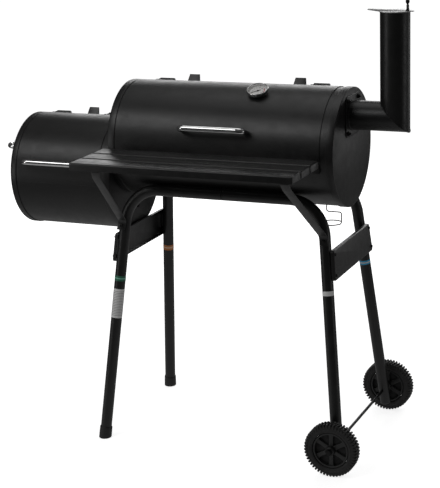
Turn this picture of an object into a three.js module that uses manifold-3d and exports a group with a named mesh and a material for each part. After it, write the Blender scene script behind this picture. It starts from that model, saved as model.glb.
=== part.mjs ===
// Offset smoker: a horizontal cooking barrel with a chimney at its right end, a firebox
// hung lower on its left end, a slatted front shelf, four bent tube legs and two wheels.
// Millimetres. +X along the barrel towards the chimney, +Y to the back, +Z up.
// Sizes below are in the barrel's own frame: x = 0 at mid barrel, y = 0 on its axis,
// z = 0 on the ground. The finished group is then centred over the origin.

import * as THREE from 'three';
import { mergeVertices } from 'three/addons/utils/BufferGeometryUtils.js';
import Module from 'manifold-3d';

const wasm = await Module();
wasm.setup();

// ---------- driving dimensions ----------

const GAP = 0.3;                 // clearance left between pieces that touch
const SHEET = 1.6;               // sheet steel of barrels, lids and end caps
const DRUM_RADIUS = 162;         // outside of both barrels
const DRUM_FACET = 6;            // degrees of each flat of a barrel
const CAP_FACETS = 36;

const BARREL = { x0: -330.5, x1: 330.5, z: 853, rimLeft: 21, rimRight: 36 };
const FIREBOX = { x0: -653.5, x1: -334.8, z: 744, rimLeft: 18, rimRight: 36 };

const CAP_FLANGE_DEPTH = 14;
const CAP_FLANGE_RADIUS = DRUM_RADIUS - SHEET - 0.6;

// Where the two barrels' ends overlap, smoke passes through a round hole in both caps.
const SMOKE_HOLE_RADIUS = 60;
const SMOKE_HOLE_Z = (BARREL.z + FIREBOX.z) / 2;
const AIR_HOLE_RADIUS = 24;
const AIR_HOLE_Z = FIREBOX.z - 78;
const HOLE_FACETS = 24;

// Angles round a barrel: 0 is the front, 90 the top, 180 the back.
const LID_FROM = -3;
const LID_TO = 108;
const LID_LAP = 6;               // overlap of a lid on the barrel at its two ends
const WINDOW_FROM = 0.5;
const WINDOW_TO = 105.5;
const LID_CLEARANCE = 0.5;
const LID_INSIDE = DRUM_RADIUS + LID_CLEARANCE;
const LID_OUTSIDE = LID_INSIDE + SHEET;

const HINGE_ANGLE = 109.6;
const HINGE_PIN_RADIUS = 2.5;
const HINGE_KNUCKLE_RADIUS = 4.6;
const HINGE_BORE_RADIUS = HINGE_PIN_RADIUS + 0.25;
const HINGE_SIDES = 10;
const HINGE_LEAF = 1.5;
const HINGE_WIDTH = 45;
const HINGE_CENTRE_KNUCKLE = 15;
const HINGE_AXIS_RADIUS = DRUM_RADIUS + 5.7;
const MAIN_HINGE_SPACING = 235;  // each side of the lid's middle
const FIREBOX_HINGE_SPACING = 87;

const STOP_ANGLE = 116.5;
const STOP_HEIGHT = 29;
const STOP_WIDTH = 39;
const STOP_TOP_WIDTH = 31;
const STOP_THICKNESS = 2;
const STOP_FOOT_ANGLE = 7;         // degrees of the barrel that a stop's foot covers
const MAIN_STOP_SPACING = 162;

const HANDLE_BAR_RADIUS = 8;
const HANDLE_LENGTH = 187;       // between the middles of its two legs
const HANDLE_REACH = 38;         // from the sheet to the bar's middle
const HANDLE_BEND = 18;
const MAIN_HANDLE_ANGLE = 20;
const FIREBOX_HANDLE_ANGLE = 16.5;
const END_HANDLE_RISE = 79;      // above the firebox's axis
const END_HANDLE_REACH = 44;

const THERMOMETER_X = 88;
const THERMOMETER_ANGLE = 66;
const THERMOMETER_RADIUS = 30;
const THERMOMETER_HEIGHT = 15;   // from the lid to the front of the rim
const THERMOMETER_FLOOR = 6;     // from the lid to the back of the dial
const THERMOMETER_WALL = 3;
const THERMOMETER_NECK = 12;
const DIAL_THICKNESS = 1.2;
const STEM_RADIUS = 4;
const STEM_LENGTH = 46;
const NEEDLE_COLD_ANGLE = 125;
const NEEDLE_LENGTH = 20;
const NEEDLE_TAIL = 7;
const NUT_RADIUS = 9;
const NUT_HEIGHT = 5.5;

const FLUE_RADIUS = 40;          // outside of the chimney tubes
const FLUE_WALL = 1.6;
const FLUE_FACETS = 24;
const FLUE_Z = BARREL.z + 89;
const CAP_FACE = BARREL.x1 + GAP + SHEET;
const STACK_X = 453.5;
const STACK_TOP = 1221.6;
const FLANGE_SIZE = 112;
const FLANGE_THICKNESS = 2.5;
const FLANGE_CORNER = 12;

const DAMPER_RADIUS = 43;
const DAMPER_THICKNESS = 2;
const DAMPER_PIVOT = 34;         // from the stack's middle to the spindle
const DAMPER_TAB = { length: 74, halfWidth: 9 };
const DAMPER_HEEL = { length: 51, halfWidth: 7 };
const SPINDLE_RADIUS = 2.4;
const SPINDLE_BELOW = 34;        // under the damper, down inside the stack
const SPINDLE_ABOVE = 18;        // over the damper, up to the ball knob
const SPINDLE_LUG = { height: 22, halfWidth: 4 };

const AIR_DAMPER = {
  radius: 30, thickness: 1.6, pivotRise: 40, earRadius: 10, neck: 9, tab: 7, tabDrop: 46,
};
const AIR_DAMPER_BOLT = { radius: 3, head: 6, headHeight: 3.7 };

const LEG_RADIUS = 15.875;
const LEG_WALL = 1.4;
const LEG_SIDES = 12;
const LEG_FOOT_X = 359.5;
const LEG_FOOT_Y = 223;
const LEG_SPLAY = 0.0945;        // x per unit of height
const LEG_LEAN = 0.1307;         // y per unit of height
const LEG_RUN_HEIGHT = 728;      // middle of the horizontal run under the barrel
const LEG_BEND = 104;
const LEG_BOTTOM = 8;            // where the two legs with foot caps end
const WHEEL_LEG_BOTTOM = 33;     // where the two wheeled legs end
const FOOT_SEAT = 7.5;           // where a leg's end stands inside its foot cap
const FOOT_CAP_WALL = 2.4;
const FOOT_CAP_HEIGHT = 34;

const WHEEL_RADIUS = 75;
const WHEEL_Y = 257;
const TYRE_WIDTH = 36;
const TYRE_INSIDE = 51;
const TYRE_FACETS = 36;
const AXLE_RADIUS = 4;
const HUB_RADIUS = 13;
const HUB_HALF_WIDTH = 23;
const RIM_HALF_WIDTH = 13;
const RIM_WALL = 5;
const RIM_WEB = 3;               // the disc that closes the rim
const RIB_HALF_WIDTH = 6;
const RIB_HALF_DEPTH = 7;
const RIBS = 6;
const AXLE_WASHER = { radius: 8, thickness: 3 };
const AXLE_NUT = { radius: 10, flat: 4, height: 7, end: 6 };

const PANEL_LOW = 519;
const PANEL_HIGH = 600;
const PANEL_OUTSET = 26.5;       // from a leg's middle to the panel's outer face
const PANEL_DEPTH = 10;
const PANEL_MARGIN = 9;          // past the legs' middles, front and back

const SHELF_TOP = 857;
const SHELF_X0 = -326;
const SHELF_X1 = 308;
const SHELF_FRONT = -400;
const SLAT_WIDTH = 63;
const SLAT_PITCH = 66.5;
const SLAT_DEPTH = 20;
const SLAT_SHEET = 1.5;
const SLAT_ROUND = 6;

const BRACE_WIDTH = 24;
const BRACE_SHEET = 2.5;
const BRACE_LEG_HEIGHT = 640;
const BRACE_TAIL = 26;           // along the leg, below the bend, and down the barrel
const BRACE_LEFT = { shelfX: -253, legX: -300 };
const BRACE_RIGHT = { shelfX: 282, legX: 301 };

const GRATE_DROP = 20;           // cooking grates, below the barrel's axis
const GRATE_WIRE = 5;
const GRATE_PITCH = 20;
const GRATE_END_CLEARANCE = 4;
const CHARCOAL_DROP = 62;

const HANGER_WIRE_RADIUS = 1.7;
const HANGER_X = 256;
const HANGER_SHOULDER = 668;
const HANGER_RING = { x: 270, z: 636, radius: 29, from: 25, to: 325, steps: 12 };

// ---------- materials ----------

const surface = (color, roughness, metalness) => () =>
  new THREE.MeshStandardMaterial({ color, roughness, metalness });

const blackCoat = surface(0x1c1c1d, 0.42, 0.35);
const blackTube = surface(0x202021, 0.38, 0.35);
const chrome = surface(0xd6d8da, 0.12, 1);
const bareSteel = surface(0xa4a6a8, 0.4, 0.9);
const blackSteel = surface(0x2a2a2b, 0.45, 0.6);
const zincSteel = surface(0x77797b, 0.4, 0.9);
const blackPlastic = surface(0x222224, 0.6, 0);
const tyreRubber = surface(0x19191a, 0.8, 0);
const dialWhite = surface(0xf1f0ec, 0.6, 0);
const needleDark = surface(0x2c2422, 0.5, 0);
const clearGlass = () => new THREE.MeshStandardMaterial({
  color: 0xe8f0f0, roughness: 0.05, metalness: 0, transparent: true, opacity: 0.3,
});

// ---------- shape helpers ----------

const radians = THREE.MathUtils.degToRad;

function toSolid(geometry) {
  const bare = geometry.clone();
  bare.deleteAttribute('normal');
  bare.deleteAttribute('uv');
  const merged = mergeVertices(bare, 1e-4);
  return new wasm.Manifold(new wasm.Mesh({
    numProp: 3,
    vertProperties: new Float32Array(merged.attributes.position.array),
    triVerts: new Uint32Array(merged.index.array),
  }));
}

function toGeometry(solid) {
  const mesh = solid.getMesh();
  const geometry = new THREE.BufferGeometry();
  geometry.setAttribute('position', new THREE.BufferAttribute(mesh.vertProperties, 3));
  geometry.setIndex(new THREE.BufferAttribute(mesh.triVerts, 1));
  return geometry;
}

function join(first, ...others) {
  return toGeometry(others.reduce((sum, piece) => sum.add(toSolid(piece)), toSolid(first)));
}

function cut(first, ...others) {
  return toGeometry(others.reduce((sum, piece) => sum.subtract(toSolid(piece)), toSolid(first)));
}

function ring(radius, sides) {
  const step = (2 * Math.PI) / sides;
  return Array.from({ length: sides }, (_, i) => new THREE.Vector2(
    radius * Math.cos((i + 0.5) * step),
    radius * Math.sin((i + 0.5) * step),
  ));
}

function tubeShape(outside, inside, sides) {
  const shape = new THREE.Shape(ring(outside, sides));
  if (inside > 0) shape.holes.push(new THREE.Path(ring(inside, sides)));
  return shape;
}

function extrude(shape, depth) {
  return new THREE.ExtrudeGeometry(shape, { depth, bevelEnabled: false });
}

// Extrudes a shape drawn in (y, z) along X.
function alongX(shape, x0, x1) {
  const turn = new THREE.Matrix4().makeBasis(
    new THREE.Vector3(0, 1, 0),
    new THREE.Vector3(0, 0, 1),
    new THREE.Vector3(1, 0, 0),
  );
  return extrude(shape, x1 - x0).applyMatrix4(turn).translate(x0, 0, 0);
}

// Extrudes a shape drawn in (x, z) along Y.
function alongY(shape, y0, y1) {
  const turn = new THREE.Matrix4().makeBasis(
    new THREE.Vector3(1, 0, 0),
    new THREE.Vector3(0, 0, 1),
    new THREE.Vector3(0, -1, 0),
  );
  return extrude(shape, y1 - y0).applyMatrix4(turn).translate(0, y1, 0);
}

function cylinderX(radius, x0, x1, sides, y = 0, z = 0) {
  return alongX(tubeShape(radius, 0, sides), x0, x1).translate(0, y, z);
}

function cylinderY(radius, y0, y1, sides, x = 0, z = 0) {
  return alongY(tubeShape(radius, 0, sides), y0, y1).translate(x, 0, z);
}

function box(x0, x1, y0, y1, z0, z1) {
  return new THREE.BoxGeometry(x1 - x0, y1 - y0, z1 - z0)
    .translate((x0 + x1) / 2, (y0 + y1) / 2, (z0 + z1) / 2);
}

// A point at an angle round a barrel's axis, in (y, z).
function aroundDrum(radius, angle) {
  return new THREE.Vector2(-radius * Math.cos(radians(angle)), radius * Math.sin(radians(angle)));
}

// An arc of a barrel's flats, with the corners where the barrel has its own.
function drumArc(radius, from, to) {
  const angles = [from];
  for (let a = Math.ceil((from + 0.01) / DRUM_FACET) * DRUM_FACET; a < to - 0.01; a += DRUM_FACET) {
    angles.push(a);
  }
  angles.push(to);
  const half = DRUM_FACET / 2;
  return angles.map((a) => {
    const offset = a - Math.floor(a / DRUM_FACET) * DRUM_FACET - half;
    return aroundDrum(radius * Math.cos(radians(half)) / Math.cos(radians(offset)), a);
  });
}

function sector(inside, outside, from, to) {
  return new THREE.Shape([
    ...drumArc(outside, from, to),
    ...drumArc(inside, from, to).reverse(),
  ]);
}

// A path given as stations, each a point and a direction, with one section at each station.
class StationPath extends THREE.Curve {
  constructor(stations) {
    super();
    this.stations = stations;
  }

  station(t) {
    return this.stations[Math.round(t * (this.stations.length - 1))];
  }

  getPoint(t) {
    return this.station(t).point.clone();
  }

  getPointAt(t) {
    return this.getPoint(t);
  }

  getTangentAt(t) {
    return this.station(t).direction.clone();
  }
}

// Stations through the given corners, each interior corner rounded to a bend radius.
function bentStations(corners, bend, steps) {
  const stations = [];
  const first = corners[1].clone().sub(corners[0]).normalize();
  stations.push({ point: corners[0].clone(), direction: first });
  for (let i = 1; i < corners.length - 1; i += 1) {
    const corner = corners[i];
    const incoming = corner.clone().sub(corners[i - 1]).normalize();
    const outgoing = corners[i + 1].clone().sub(corner).normalize();
    const axis = incoming.clone().cross(outgoing).normalize();
    const turn = incoming.angleTo(outgoing);
    const start = corner.clone().addScaledVector(incoming, -bend * Math.tan(turn / 2));
    const centre = start.clone().addScaledVector(axis.clone().cross(incoming), bend);
    for (let k = 0; k <= steps; k += 1) {
      const angle = (turn * k) / steps;
      stations.push({
        point: start.clone().sub(centre).applyAxisAngle(axis, angle).add(centre),
        direction: incoming.clone().applyAxisAngle(axis, angle),
      });
    }
  }
  const end = corners[corners.length - 1];
  const last = end.clone().sub(corners[corners.length - 2]).normalize();
  stations.push({ point: end.clone(), direction: last });
  return stations;
}

function sweep(shape, stations) {
  const extrudePath = new StationPath(stations);
  return new THREE.ExtrudeGeometry(shape, { extrudePath, steps: stations.length - 1, bevelEnabled: false });
}

// Turns a profile of (radius, height) pairs about the Z axis.
function turned(profile, sides) {
  const points = profile.map(([radius, height]) => new THREE.Vector2(radius, height));
  return new THREE.LatheGeometry(points, sides).rotateX(Math.PI / 2);
}

const smoker = new THREE.Group();

function add(name, geometry, material, parent = smoker) {
  const mesh = new THREE.Mesh(geometry, material);
  mesh.name = name;
  parent.add(mesh);
  return mesh;
}

// ---------- barrels and their lids ----------

function lidSpan(drum) {
  return { x0: drum.x0 + drum.rimLeft, x1: drum.x1 - drum.rimRight };
}

function lidMiddle(drum) {
  const span = lidSpan(drum);
  return (span.x0 + span.x1) / 2;
}

// A full drum with a window under the lid.
function drumShell(drum) {
  const span = lidSpan(drum);
  const loop = (radius) => drumArc(radius, 0, 360).slice(1).reverse();
  const full = new THREE.Shape(loop(DRUM_RADIUS));
  full.holes.push(new THREE.Path(loop(DRUM_RADIUS - SHEET)));
  const window = alongX(
    sector(DRUM_RADIUS - 12, DRUM_RADIUS + 12, WINDOW_FROM, WINDOW_TO),
    span.x0 + LID_LAP,
    span.x1 - LID_LAP,
  );
  return cut(alongX(full, drum.x0, drum.x1), window).translate(0, 0, drum.z);
}

function lidPanel(drum) {
  const span = lidSpan(drum);
  return alongX(sector(LID_INSIDE, LID_OUTSIDE, LID_FROM, LID_TO), span.x0, span.x1)
    .translate(0, 0, drum.z);
}

// A flat disc over the drum's end with a flange that slips inside the drum.
function endCap(drum, side) {
  const inward = side < 0 ? 1 : -1;
  const profile = [
    [0, 0],
    [DRUM_RADIUS, 0],
    [DRUM_RADIUS, SHEET],
    [CAP_FLANGE_RADIUS, SHEET],
    [CAP_FLANGE_RADIUS, SHEET + CAP_FLANGE_DEPTH],
    [CAP_FLANGE_RADIUS - SHEET, SHEET + CAP_FLANGE_DEPTH],
    [CAP_FLANGE_RADIUS - SHEET, SHEET],
    [0, SHEET],
  ];
  const edge = side < 0 ? drum.x0 - GAP - SHEET : drum.x1 + GAP + SHEET;
  return turned(profile, CAP_FACETS)
    .rotateY(inward * Math.PI / 2)
    .translate(edge, 0, drum.z);
}

// A cutter through the cap at x.
function holeX(radius, x, z) {
  return cylinderX(radius, x - 40, x + 40, HOLE_FACETS, 0, z);
}

function addBarrels() {
  add('main_barrel', drumShell(BARREL), blackCoat());
  add('main_end_cap_left', cut(
    endCap(BARREL, -1),
    holeX(SMOKE_HOLE_RADIUS, BARREL.x0, SMOKE_HOLE_Z),
  ), blackCoat());
  add('main_end_cap_right', cut(
    endCap(BARREL, 1),
    holeX(FLUE_RADIUS - FLUE_WALL, BARREL.x1, FLUE_Z),
  ), blackCoat());
  add('firebox_barrel', drumShell(FIREBOX), blackCoat());
  add('firebox_end_cap_left', cut(
    endCap(FIREBOX, -1),
    holeX(AIR_HOLE_RADIUS, FIREBOX.x0, AIR_HOLE_Z),
  ), blackCoat());
  add('firebox_end_cap_right', cut(
    endCap(FIREBOX, 1),
    holeX(SMOKE_HOLE_RADIUS, FIREBOX.x1, SMOKE_HOLE_Z),
  ), blackCoat());
}

// ---------- hinges and lid stops ----------

const hingeAxis = aroundDrum(HINGE_AXIS_RADIUS, HINGE_ANGLE);

function hingeCylinder(radius, x0, x1, z) {
  return cylinderX(radius, x0, x1, HINGE_SIDES, hingeAxis.x, hingeAxis.y + z);
}

// The leaf riveted to the barrel behind the pin, with the two outer knuckles.
function fixedLeaf(x, z) {
  const half = HINGE_WIDTH / 2;
  const centre = HINGE_CENTRE_KNUCKLE / 2;
  const plate = alongX(
    sector(LID_INSIDE, LID_INSIDE + HINGE_LEAF, HINGE_ANGLE, HINGE_ANGLE + 10),
    x - half,
    x + half,
  ).translate(0, 0, z);
  const body = toSolid(plate)
    .add(toSolid(hingeCylinder(HINGE_KNUCKLE_RADIUS, x - half, x + half, z)))
    .subtract(toSolid(hingeCylinder(HINGE_KNUCKLE_RADIUS + 0.5, x - centre - 0.4, x + centre + 0.4, z)))
    .subtract(toSolid(hingeCylinder(HINGE_BORE_RADIUS, x - half - 1, x + half + 1, z)));
  return toGeometry(body);
}

// The leaf riveted on top of the lid in front of the pin, with the middle knuckle.
function lidLeaf(x, z) {
  const half = HINGE_WIDTH / 2;
  const centre = HINGE_CENTRE_KNUCKLE / 2;
  const inside = LID_OUTSIDE + GAP;
  const plate = alongX(
    sector(inside, inside + HINGE_LEAF, HINGE_ANGLE - 11, HINGE_ANGLE),
    x - half,
    x + half,
  ).translate(0, 0, z);
  const sides = [-1, 1].map((side) => {
    const from = side < 0 ? x - half - 1 : x + centre;
    const to = side < 0 ? x - centre : x + half + 1;
    return toSolid(hingeCylinder(HINGE_KNUCKLE_RADIUS + 0.5, from, to, z));
  });
  const body = toSolid(plate)
    .add(toSolid(hingeCylinder(HINGE_KNUCKLE_RADIUS, x - centre, x + centre, z)))
    .subtract(sides[0])
    .subtract(sides[1])
    .subtract(toSolid(hingeCylinder(HINGE_BORE_RADIUS, x - half - 1, x + half + 1, z)));
  return toGeometry(body);
}

// A pin with a flat head at each end.
function hingePin(x, z) {
  const half = HINGE_WIDTH / 2 + GAP;
  return join(
    hingeCylinder(HINGE_PIN_RADIUS, x - half - 1, x + half + 1, z),
    hingeCylinder(HINGE_PIN_RADIUS + 1.3, x - half - 1.5, x - half, z),
    hingeCylinder(HINGE_PIN_RADIUS + 1.3, x + half, x + half + 1.5, z),
  );
}

// An upright tab on a foot, standing behind the hinges, that the open lid leans on.
function lidStop(x, z) {
  const foot = alongX(
    sector(LID_INSIDE, LID_INSIDE + STOP_THICKNESS, STOP_ANGLE, STOP_ANGLE + STOP_FOOT_ANGLE),
    x - STOP_WIDTH / 2,
    x + STOP_WIDTH / 2,
  );
  const outline = new THREE.Shape([
    new THREE.Vector2(-STOP_WIDTH / 2, GAP + 0.4),
    new THREE.Vector2(STOP_WIDTH / 2, GAP + 0.4),
    new THREE.Vector2(STOP_TOP_WIDTH / 2, STOP_HEIGHT),
    new THREE.Vector2(-STOP_TOP_WIDTH / 2, STOP_HEIGHT),
  ]);
  const upright = alongY(outline, 0, STOP_THICKNESS)
    .translate(x, 0, DRUM_RADIUS)
    .rotateX(radians(90 - STOP_ANGLE));
  return join(foot, upright).translate(0, 0, z);
}

// ---------- handles ----------

// A bent bar standing on the z = 0 plane with its legs along +Z and its bar along X.
function handleBar(reach) {
  const half = HANDLE_LENGTH / 2;
  const stations = bentStations([
    new THREE.Vector3(-half, 0, 0),
    new THREE.Vector3(-half, 0, reach),
    new THREE.Vector3(half, 0, reach),
    new THREE.Vector3(half, 0, 0),
  ], HANDLE_BEND, 3);
  return sweep(tubeShape(HANDLE_BAR_RADIUS, 0, 8), stations);
}

function lidHandle(drum, angle) {
  return handleBar(HANDLE_REACH)
    .translate(0, 0, LID_OUTSIDE + GAP)
    .rotateX(radians(90 - angle))
    .translate(lidMiddle(drum), 0, drum.z);
}

function addLid(prefix, drum, hingeSpacing, stopPlaces, handleAngle) {
  const middle = lidMiddle(drum);
  const sides = hingeSpacing.map((offset, i) => [offset, i === 0 ? 'left' : 'right']);
  for (const [offset, side] of sides) {
    add(`${prefix}_hinge_leaf_${side}`, fixedLeaf(middle + offset, drum.z), blackCoat());
    add(`${prefix}_hinge_pin_${side}`, hingePin(middle + offset, drum.z), zincSteel());
    add(`${prefix}_lid_hinge_leaf_${side}`, lidLeaf(middle + offset, drum.z), blackCoat());
  }
  for (const [offset, suffix] of stopPlaces) {
    add(`${prefix}_lid_stop${suffix}`, lidStop(middle + offset, drum.z), blackCoat());
  }
  add(`${prefix}_lid_handle`, lidHandle(drum, handleAngle), chrome());
}

function addFireboxEndHandle() {
  const handle = handleBar(END_HANDLE_REACH)
    .rotateZ(Math.PI / 2)
    .rotateY(-Math.PI / 2)
    .translate(FIREBOX.x0 - 2 * GAP - SHEET, 0, FIREBOX.z + END_HANDLE_RISE);
  add('firebox_end_handle', handle, chrome());
}

// ---------- thermometer ----------

function addThermometer() {
  const place = new THREE.Group();
  place.position.set(THERMOMETER_X, 0, BARREL.z);
  place.rotation.x = radians(90 - THERMOMETER_ANGLE);
  smoker.add(place);
  const base = LID_OUTSIDE + GAP + 0.2;
  const floor = base + THERMOMETER_FLOOR;
  const rimTop = base + THERMOMETER_HEIGHT;
  const inner = THERMOMETER_RADIUS - THERMOMETER_WALL;
  const dialTop = floor + GAP + DIAL_THICKNESS;
  add('thermometer_case', turned([
    [0, base - STEM_LENGTH],
    [STEM_RADIUS, base - STEM_LENGTH],
    [STEM_RADIUS, base],
    [THERMOMETER_NECK, base],
    [THERMOMETER_NECK, base + 3],
    [THERMOMETER_RADIUS - 2, base + 4],
    [THERMOMETER_RADIUS, base + 8],
    [THERMOMETER_RADIUS, rimTop - 2],
    [THERMOMETER_RADIUS - 1.5, rimTop],
    [inner, rimTop - 0.5],
    [inner, floor],
    [0, floor],
  ], 20), chrome(), place);
  add('thermometer_dial', turned([
    [0, floor + GAP],
    [inner - GAP, floor + GAP],
    [inner - GAP, dialTop],
    [0, dialTop],
  ], 20), dialWhite(), place);
  const needle = new THREE.Shape([
    new THREE.Vector2(-1.6, -NEEDLE_TAIL),
    new THREE.Vector2(1.6, -NEEDLE_TAIL),
    new THREE.Vector2(0.5, NEEDLE_LENGTH),
    new THREE.Vector2(-0.5, NEEDLE_LENGTH),
  ]);
  add('thermometer_needle', extrude(needle, 0.8)
    .rotateZ(radians(NEEDLE_COLD_ANGLE))
    .translate(0, 0, dialTop + 0.5), needleDark(), place);
  add('thermometer_glass', turned([
    [0, dialTop + 3.5],
    [inner - GAP, dialTop + 3.5],
    [inner - GAP, dialTop + 5],
    [0, dialTop + 5.5],
  ], 20), clearGlass(), place);
  const nutTop = LID_INSIDE - 1;
  const nutBore = STEM_RADIUS + 0.15;
  add('thermometer_nut', turned([
    [nutBore, nutTop - NUT_HEIGHT],
    [NUT_RADIUS, nutTop - NUT_HEIGHT],
    [NUT_RADIUS, nutTop],
    [nutBore, nutTop],
    [nutBore, nutTop - NUT_HEIGHT],
  ], 12), zincSteel(), place);
}

function addLids() {
  const stem = new THREE.CylinderGeometry(STEM_RADIUS + 0.6, STEM_RADIUS + 0.6, 60, 16)
    .rotateX(Math.PI / 2)
    .translate(0, 0, DRUM_RADIUS)
    .rotateX(radians(90 - THERMOMETER_ANGLE))
    .translate(THERMOMETER_X, 0, BARREL.z);
  add('main_lid', cut(lidPanel(BARREL), stem), blackCoat());
  add('firebox_lid', lidPanel(FIREBOX), blackCoat());
  addLid('main', BARREL, [-MAIN_HINGE_SPACING, MAIN_HINGE_SPACING], [
    [-MAIN_STOP_SPACING, '_left'],
    [MAIN_STOP_SPACING, '_right'],
  ], MAIN_HANDLE_ANGLE);
  addLid('firebox', FIREBOX, [-FIREBOX_HINGE_SPACING, FIREBOX_HINGE_SPACING], [
    [0, ''],
  ], FIREBOX_HANDLE_ANGLE);
}

// ---------- grates ----------

// A grate: a border frame with a row of bars across it.
function grate(x0, x1, halfWidth, z) {
  const low = z - GRATE_WIRE;
  const count = Math.round((x1 - x0) / GRATE_PITCH);
  const pitch = (x1 - x0 - GRATE_WIRE) / count;
  const slots = Array.from({ length: count }, (_, i) => box(
    x0 + GRATE_WIRE + i * pitch,
    x0 + (i + 1) * pitch,
    -halfWidth + GRATE_WIRE,
    halfWidth - GRATE_WIRE,
    low - 1,
    z + 1,
  ));
  return cut(box(x0, x1, -halfWidth, halfWidth, low, z), ...slots);
}

// Half the width of a flat grate whose edges rest on the barrel's wall.
function restingHalfWidth(drop) {
  const inside = (DRUM_RADIUS - SHEET) * Math.cos(radians(DRUM_FACET / 2)) - 0.6;
  return Math.sqrt(inside * inside - drop * drop);
}

function addGrates() {
  const end = CAP_FLANGE_DEPTH + GRATE_END_CLEARANCE;
  const cooking = restingHalfWidth(GRATE_DROP + GRATE_WIRE);
  add('cooking_grate_left', grate(BARREL.x0 + end, -1, cooking, BARREL.z - GRATE_DROP), zincSteel());
  add('cooking_grate_right', grate(1, BARREL.x1 - end, cooking, BARREL.z - GRATE_DROP), zincSteel());
  const charcoal = restingHalfWidth(CHARCOAL_DROP + GRATE_WIRE);
  add('firebox_charcoal_grate', grate(
    FIREBOX.x0 + end,
    FIREBOX.x1 - end,
    charcoal,
    FIREBOX.z - CHARCOAL_DROP,
  ), zincSteel());
}

// ---------- chimney ----------

// The space on the upper right of the 45 degree mitre plane (side 1) or on its lower left.
function mitreSide(side) {
  const size = 800;
  return new THREE.BoxGeometry(size, size, size)
    .translate(side * (size / 2 - GAP / 2), 0, 0)
    .rotateY(-Math.PI / 4)
    .translate(STACK_X, 0, FLUE_Z);
}

function addChimney() {
  const bore = FLUE_RADIUS - FLUE_WALL;
  const half = FLANGE_SIZE / 2;
  const corner = FLANGE_CORNER;
  const plate = new THREE.Shape();
  plate.absarc(half - corner, half - corner, corner, 0, Math.PI / 2);
  plate.absarc(corner - half, half - corner, corner, Math.PI / 2, Math.PI);
  plate.absarc(corner - half, corner - half, corner, Math.PI, 1.5 * Math.PI);
  plate.absarc(half - corner, corner - half, corner, 1.5 * Math.PI, 2 * Math.PI);
  plate.holes.push(new THREE.Path(ring(bore, FLUE_FACETS)));
  const flange = new THREE.ExtrudeGeometry(plate, {
    depth: FLANGE_THICKNESS, bevelEnabled: false, curveSegments: 3,
  }).rotateX(Math.PI / 2).rotateZ(Math.PI / 2).translate(CAP_FACE + GAP, 0, FLUE_Z);
  add('chimney_flange', flange, blackCoat());

  const pipeStart = CAP_FACE + FLANGE_THICKNESS + 2 * GAP;
  const pipe = alongX(tubeShape(FLUE_RADIUS, bore, FLUE_FACETS), pipeStart, STACK_X + 60);
  add('chimney_pipe', cut(pipe.translate(0, 0, FLUE_Z), mitreSide(1)), blackCoat());

  const stack = extrude(tubeShape(FLUE_RADIUS, bore, FLUE_FACETS), STACK_TOP - FLUE_Z + 60);
  add('chimney_stack', cut(stack.translate(STACK_X, 0, FLUE_Z - 60), mitreSide(-1)), blackCoat());
}

// A flat plate over the stack that swings on a spindle, with a tab to push it by.
function addStackDamper() {
  const z = STACK_TOP + GAP;
  const pivot = STACK_X + DAMPER_PIVOT;
  const disc = extrude(new THREE.Shape(ring(DAMPER_RADIUS, FLUE_FACETS)), DAMPER_THICKNESS)
    .translate(STACK_X, 0, z);
  const tab = box(
    STACK_X - DAMPER_TAB.length,
    STACK_X - DAMPER_RADIUS + 6,
    -DAMPER_TAB.halfWidth,
    DAMPER_TAB.halfWidth,
    z,
    z + DAMPER_THICKNESS,
  );
  const heel = box(
    STACK_X + DAMPER_RADIUS - 8,
    STACK_X + DAMPER_HEEL.length,
    -DAMPER_HEEL.halfWidth,
    DAMPER_HEEL.halfWidth,
    z,
    z + DAMPER_THICKNESS,
  );
  const hole = extrude(new THREE.Shape(ring(SPINDLE_RADIUS + GAP, 12)), 20)
    .translate(pivot, 0, z - 5);
  add('stack_damper', cut(join(disc, tab, heel), hole), bareSteel());

  // The spindle stands on a small lug beside the stack's wall and ends in a ball knob.
  const bottom = z - SPINDLE_BELOW;
  const knob = z + DAMPER_THICKNESS + SPINDLE_ABOVE;
  const spindle = turned([
    [0, bottom],
    [SPINDLE_RADIUS, bottom],
    [SPINDLE_RADIUS, knob],
    [5, knob + 3],
    [5.5, knob + 7],
    [3.5, knob + 11],
    [0, knob + 12],
  ], 12).translate(pivot, 0, 0);
  const lug = box(
    pivot - 1,
    STACK_X + FLUE_RADIUS - FLUE_WALL - 1.2,
    -SPINDLE_LUG.halfWidth,
    SPINDLE_LUG.halfWidth,
    bottom,
    bottom + SPINDLE_LUG.height,
  );
  add('stack_damper_spindle', join(spindle, lug), blackSteel());
}

// ---------- firebox air damper ----------

function addAirDamper() {
  const { radius, thickness, pivotRise, earRadius, neck, tab, tabDrop } = AIR_DAMPER;
  const x1 = FIREBOX.x0 - 2 * GAP - SHEET;
  const x0 = x1 - thickness;
  const pivotZ = AIR_HOLE_Z + pivotRise;
  const bolt = AIR_DAMPER_BOLT;
  add('air_damper', cut(
    join(
      cylinderX(radius, x0, x1, 24, 0, AIR_HOLE_Z),
      cylinderX(earRadius, x0, x1, 16, 0, pivotZ),
      box(x0, x1, -neck, neck, AIR_HOLE_Z + 20, pivotZ),
      box(x0, x1, -tab, tab, AIR_HOLE_Z - tabDrop, AIR_HOLE_Z - 24),
    ),
    cylinderX(bolt.radius + GAP, x0 - 5, x1 + 5, 12, 0, pivotZ),
  ), blackCoat());
  add('air_damper_bolt', join(
    cylinderX(bolt.radius, x0 - 3, x1, 12, 0, pivotZ),
    cylinderX(bolt.head, x0 - GAP - bolt.headHeight, x0 - GAP, 6, 0, pivotZ),
  ), zincSteel());
}

// ---------- legs, feet, panels ----------

function legX(z) {
  return LEG_FOOT_X - LEG_SPLAY * z;
}

function legY(z) {
  return LEG_FOOT_Y - LEG_LEAN * z;
}

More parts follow.
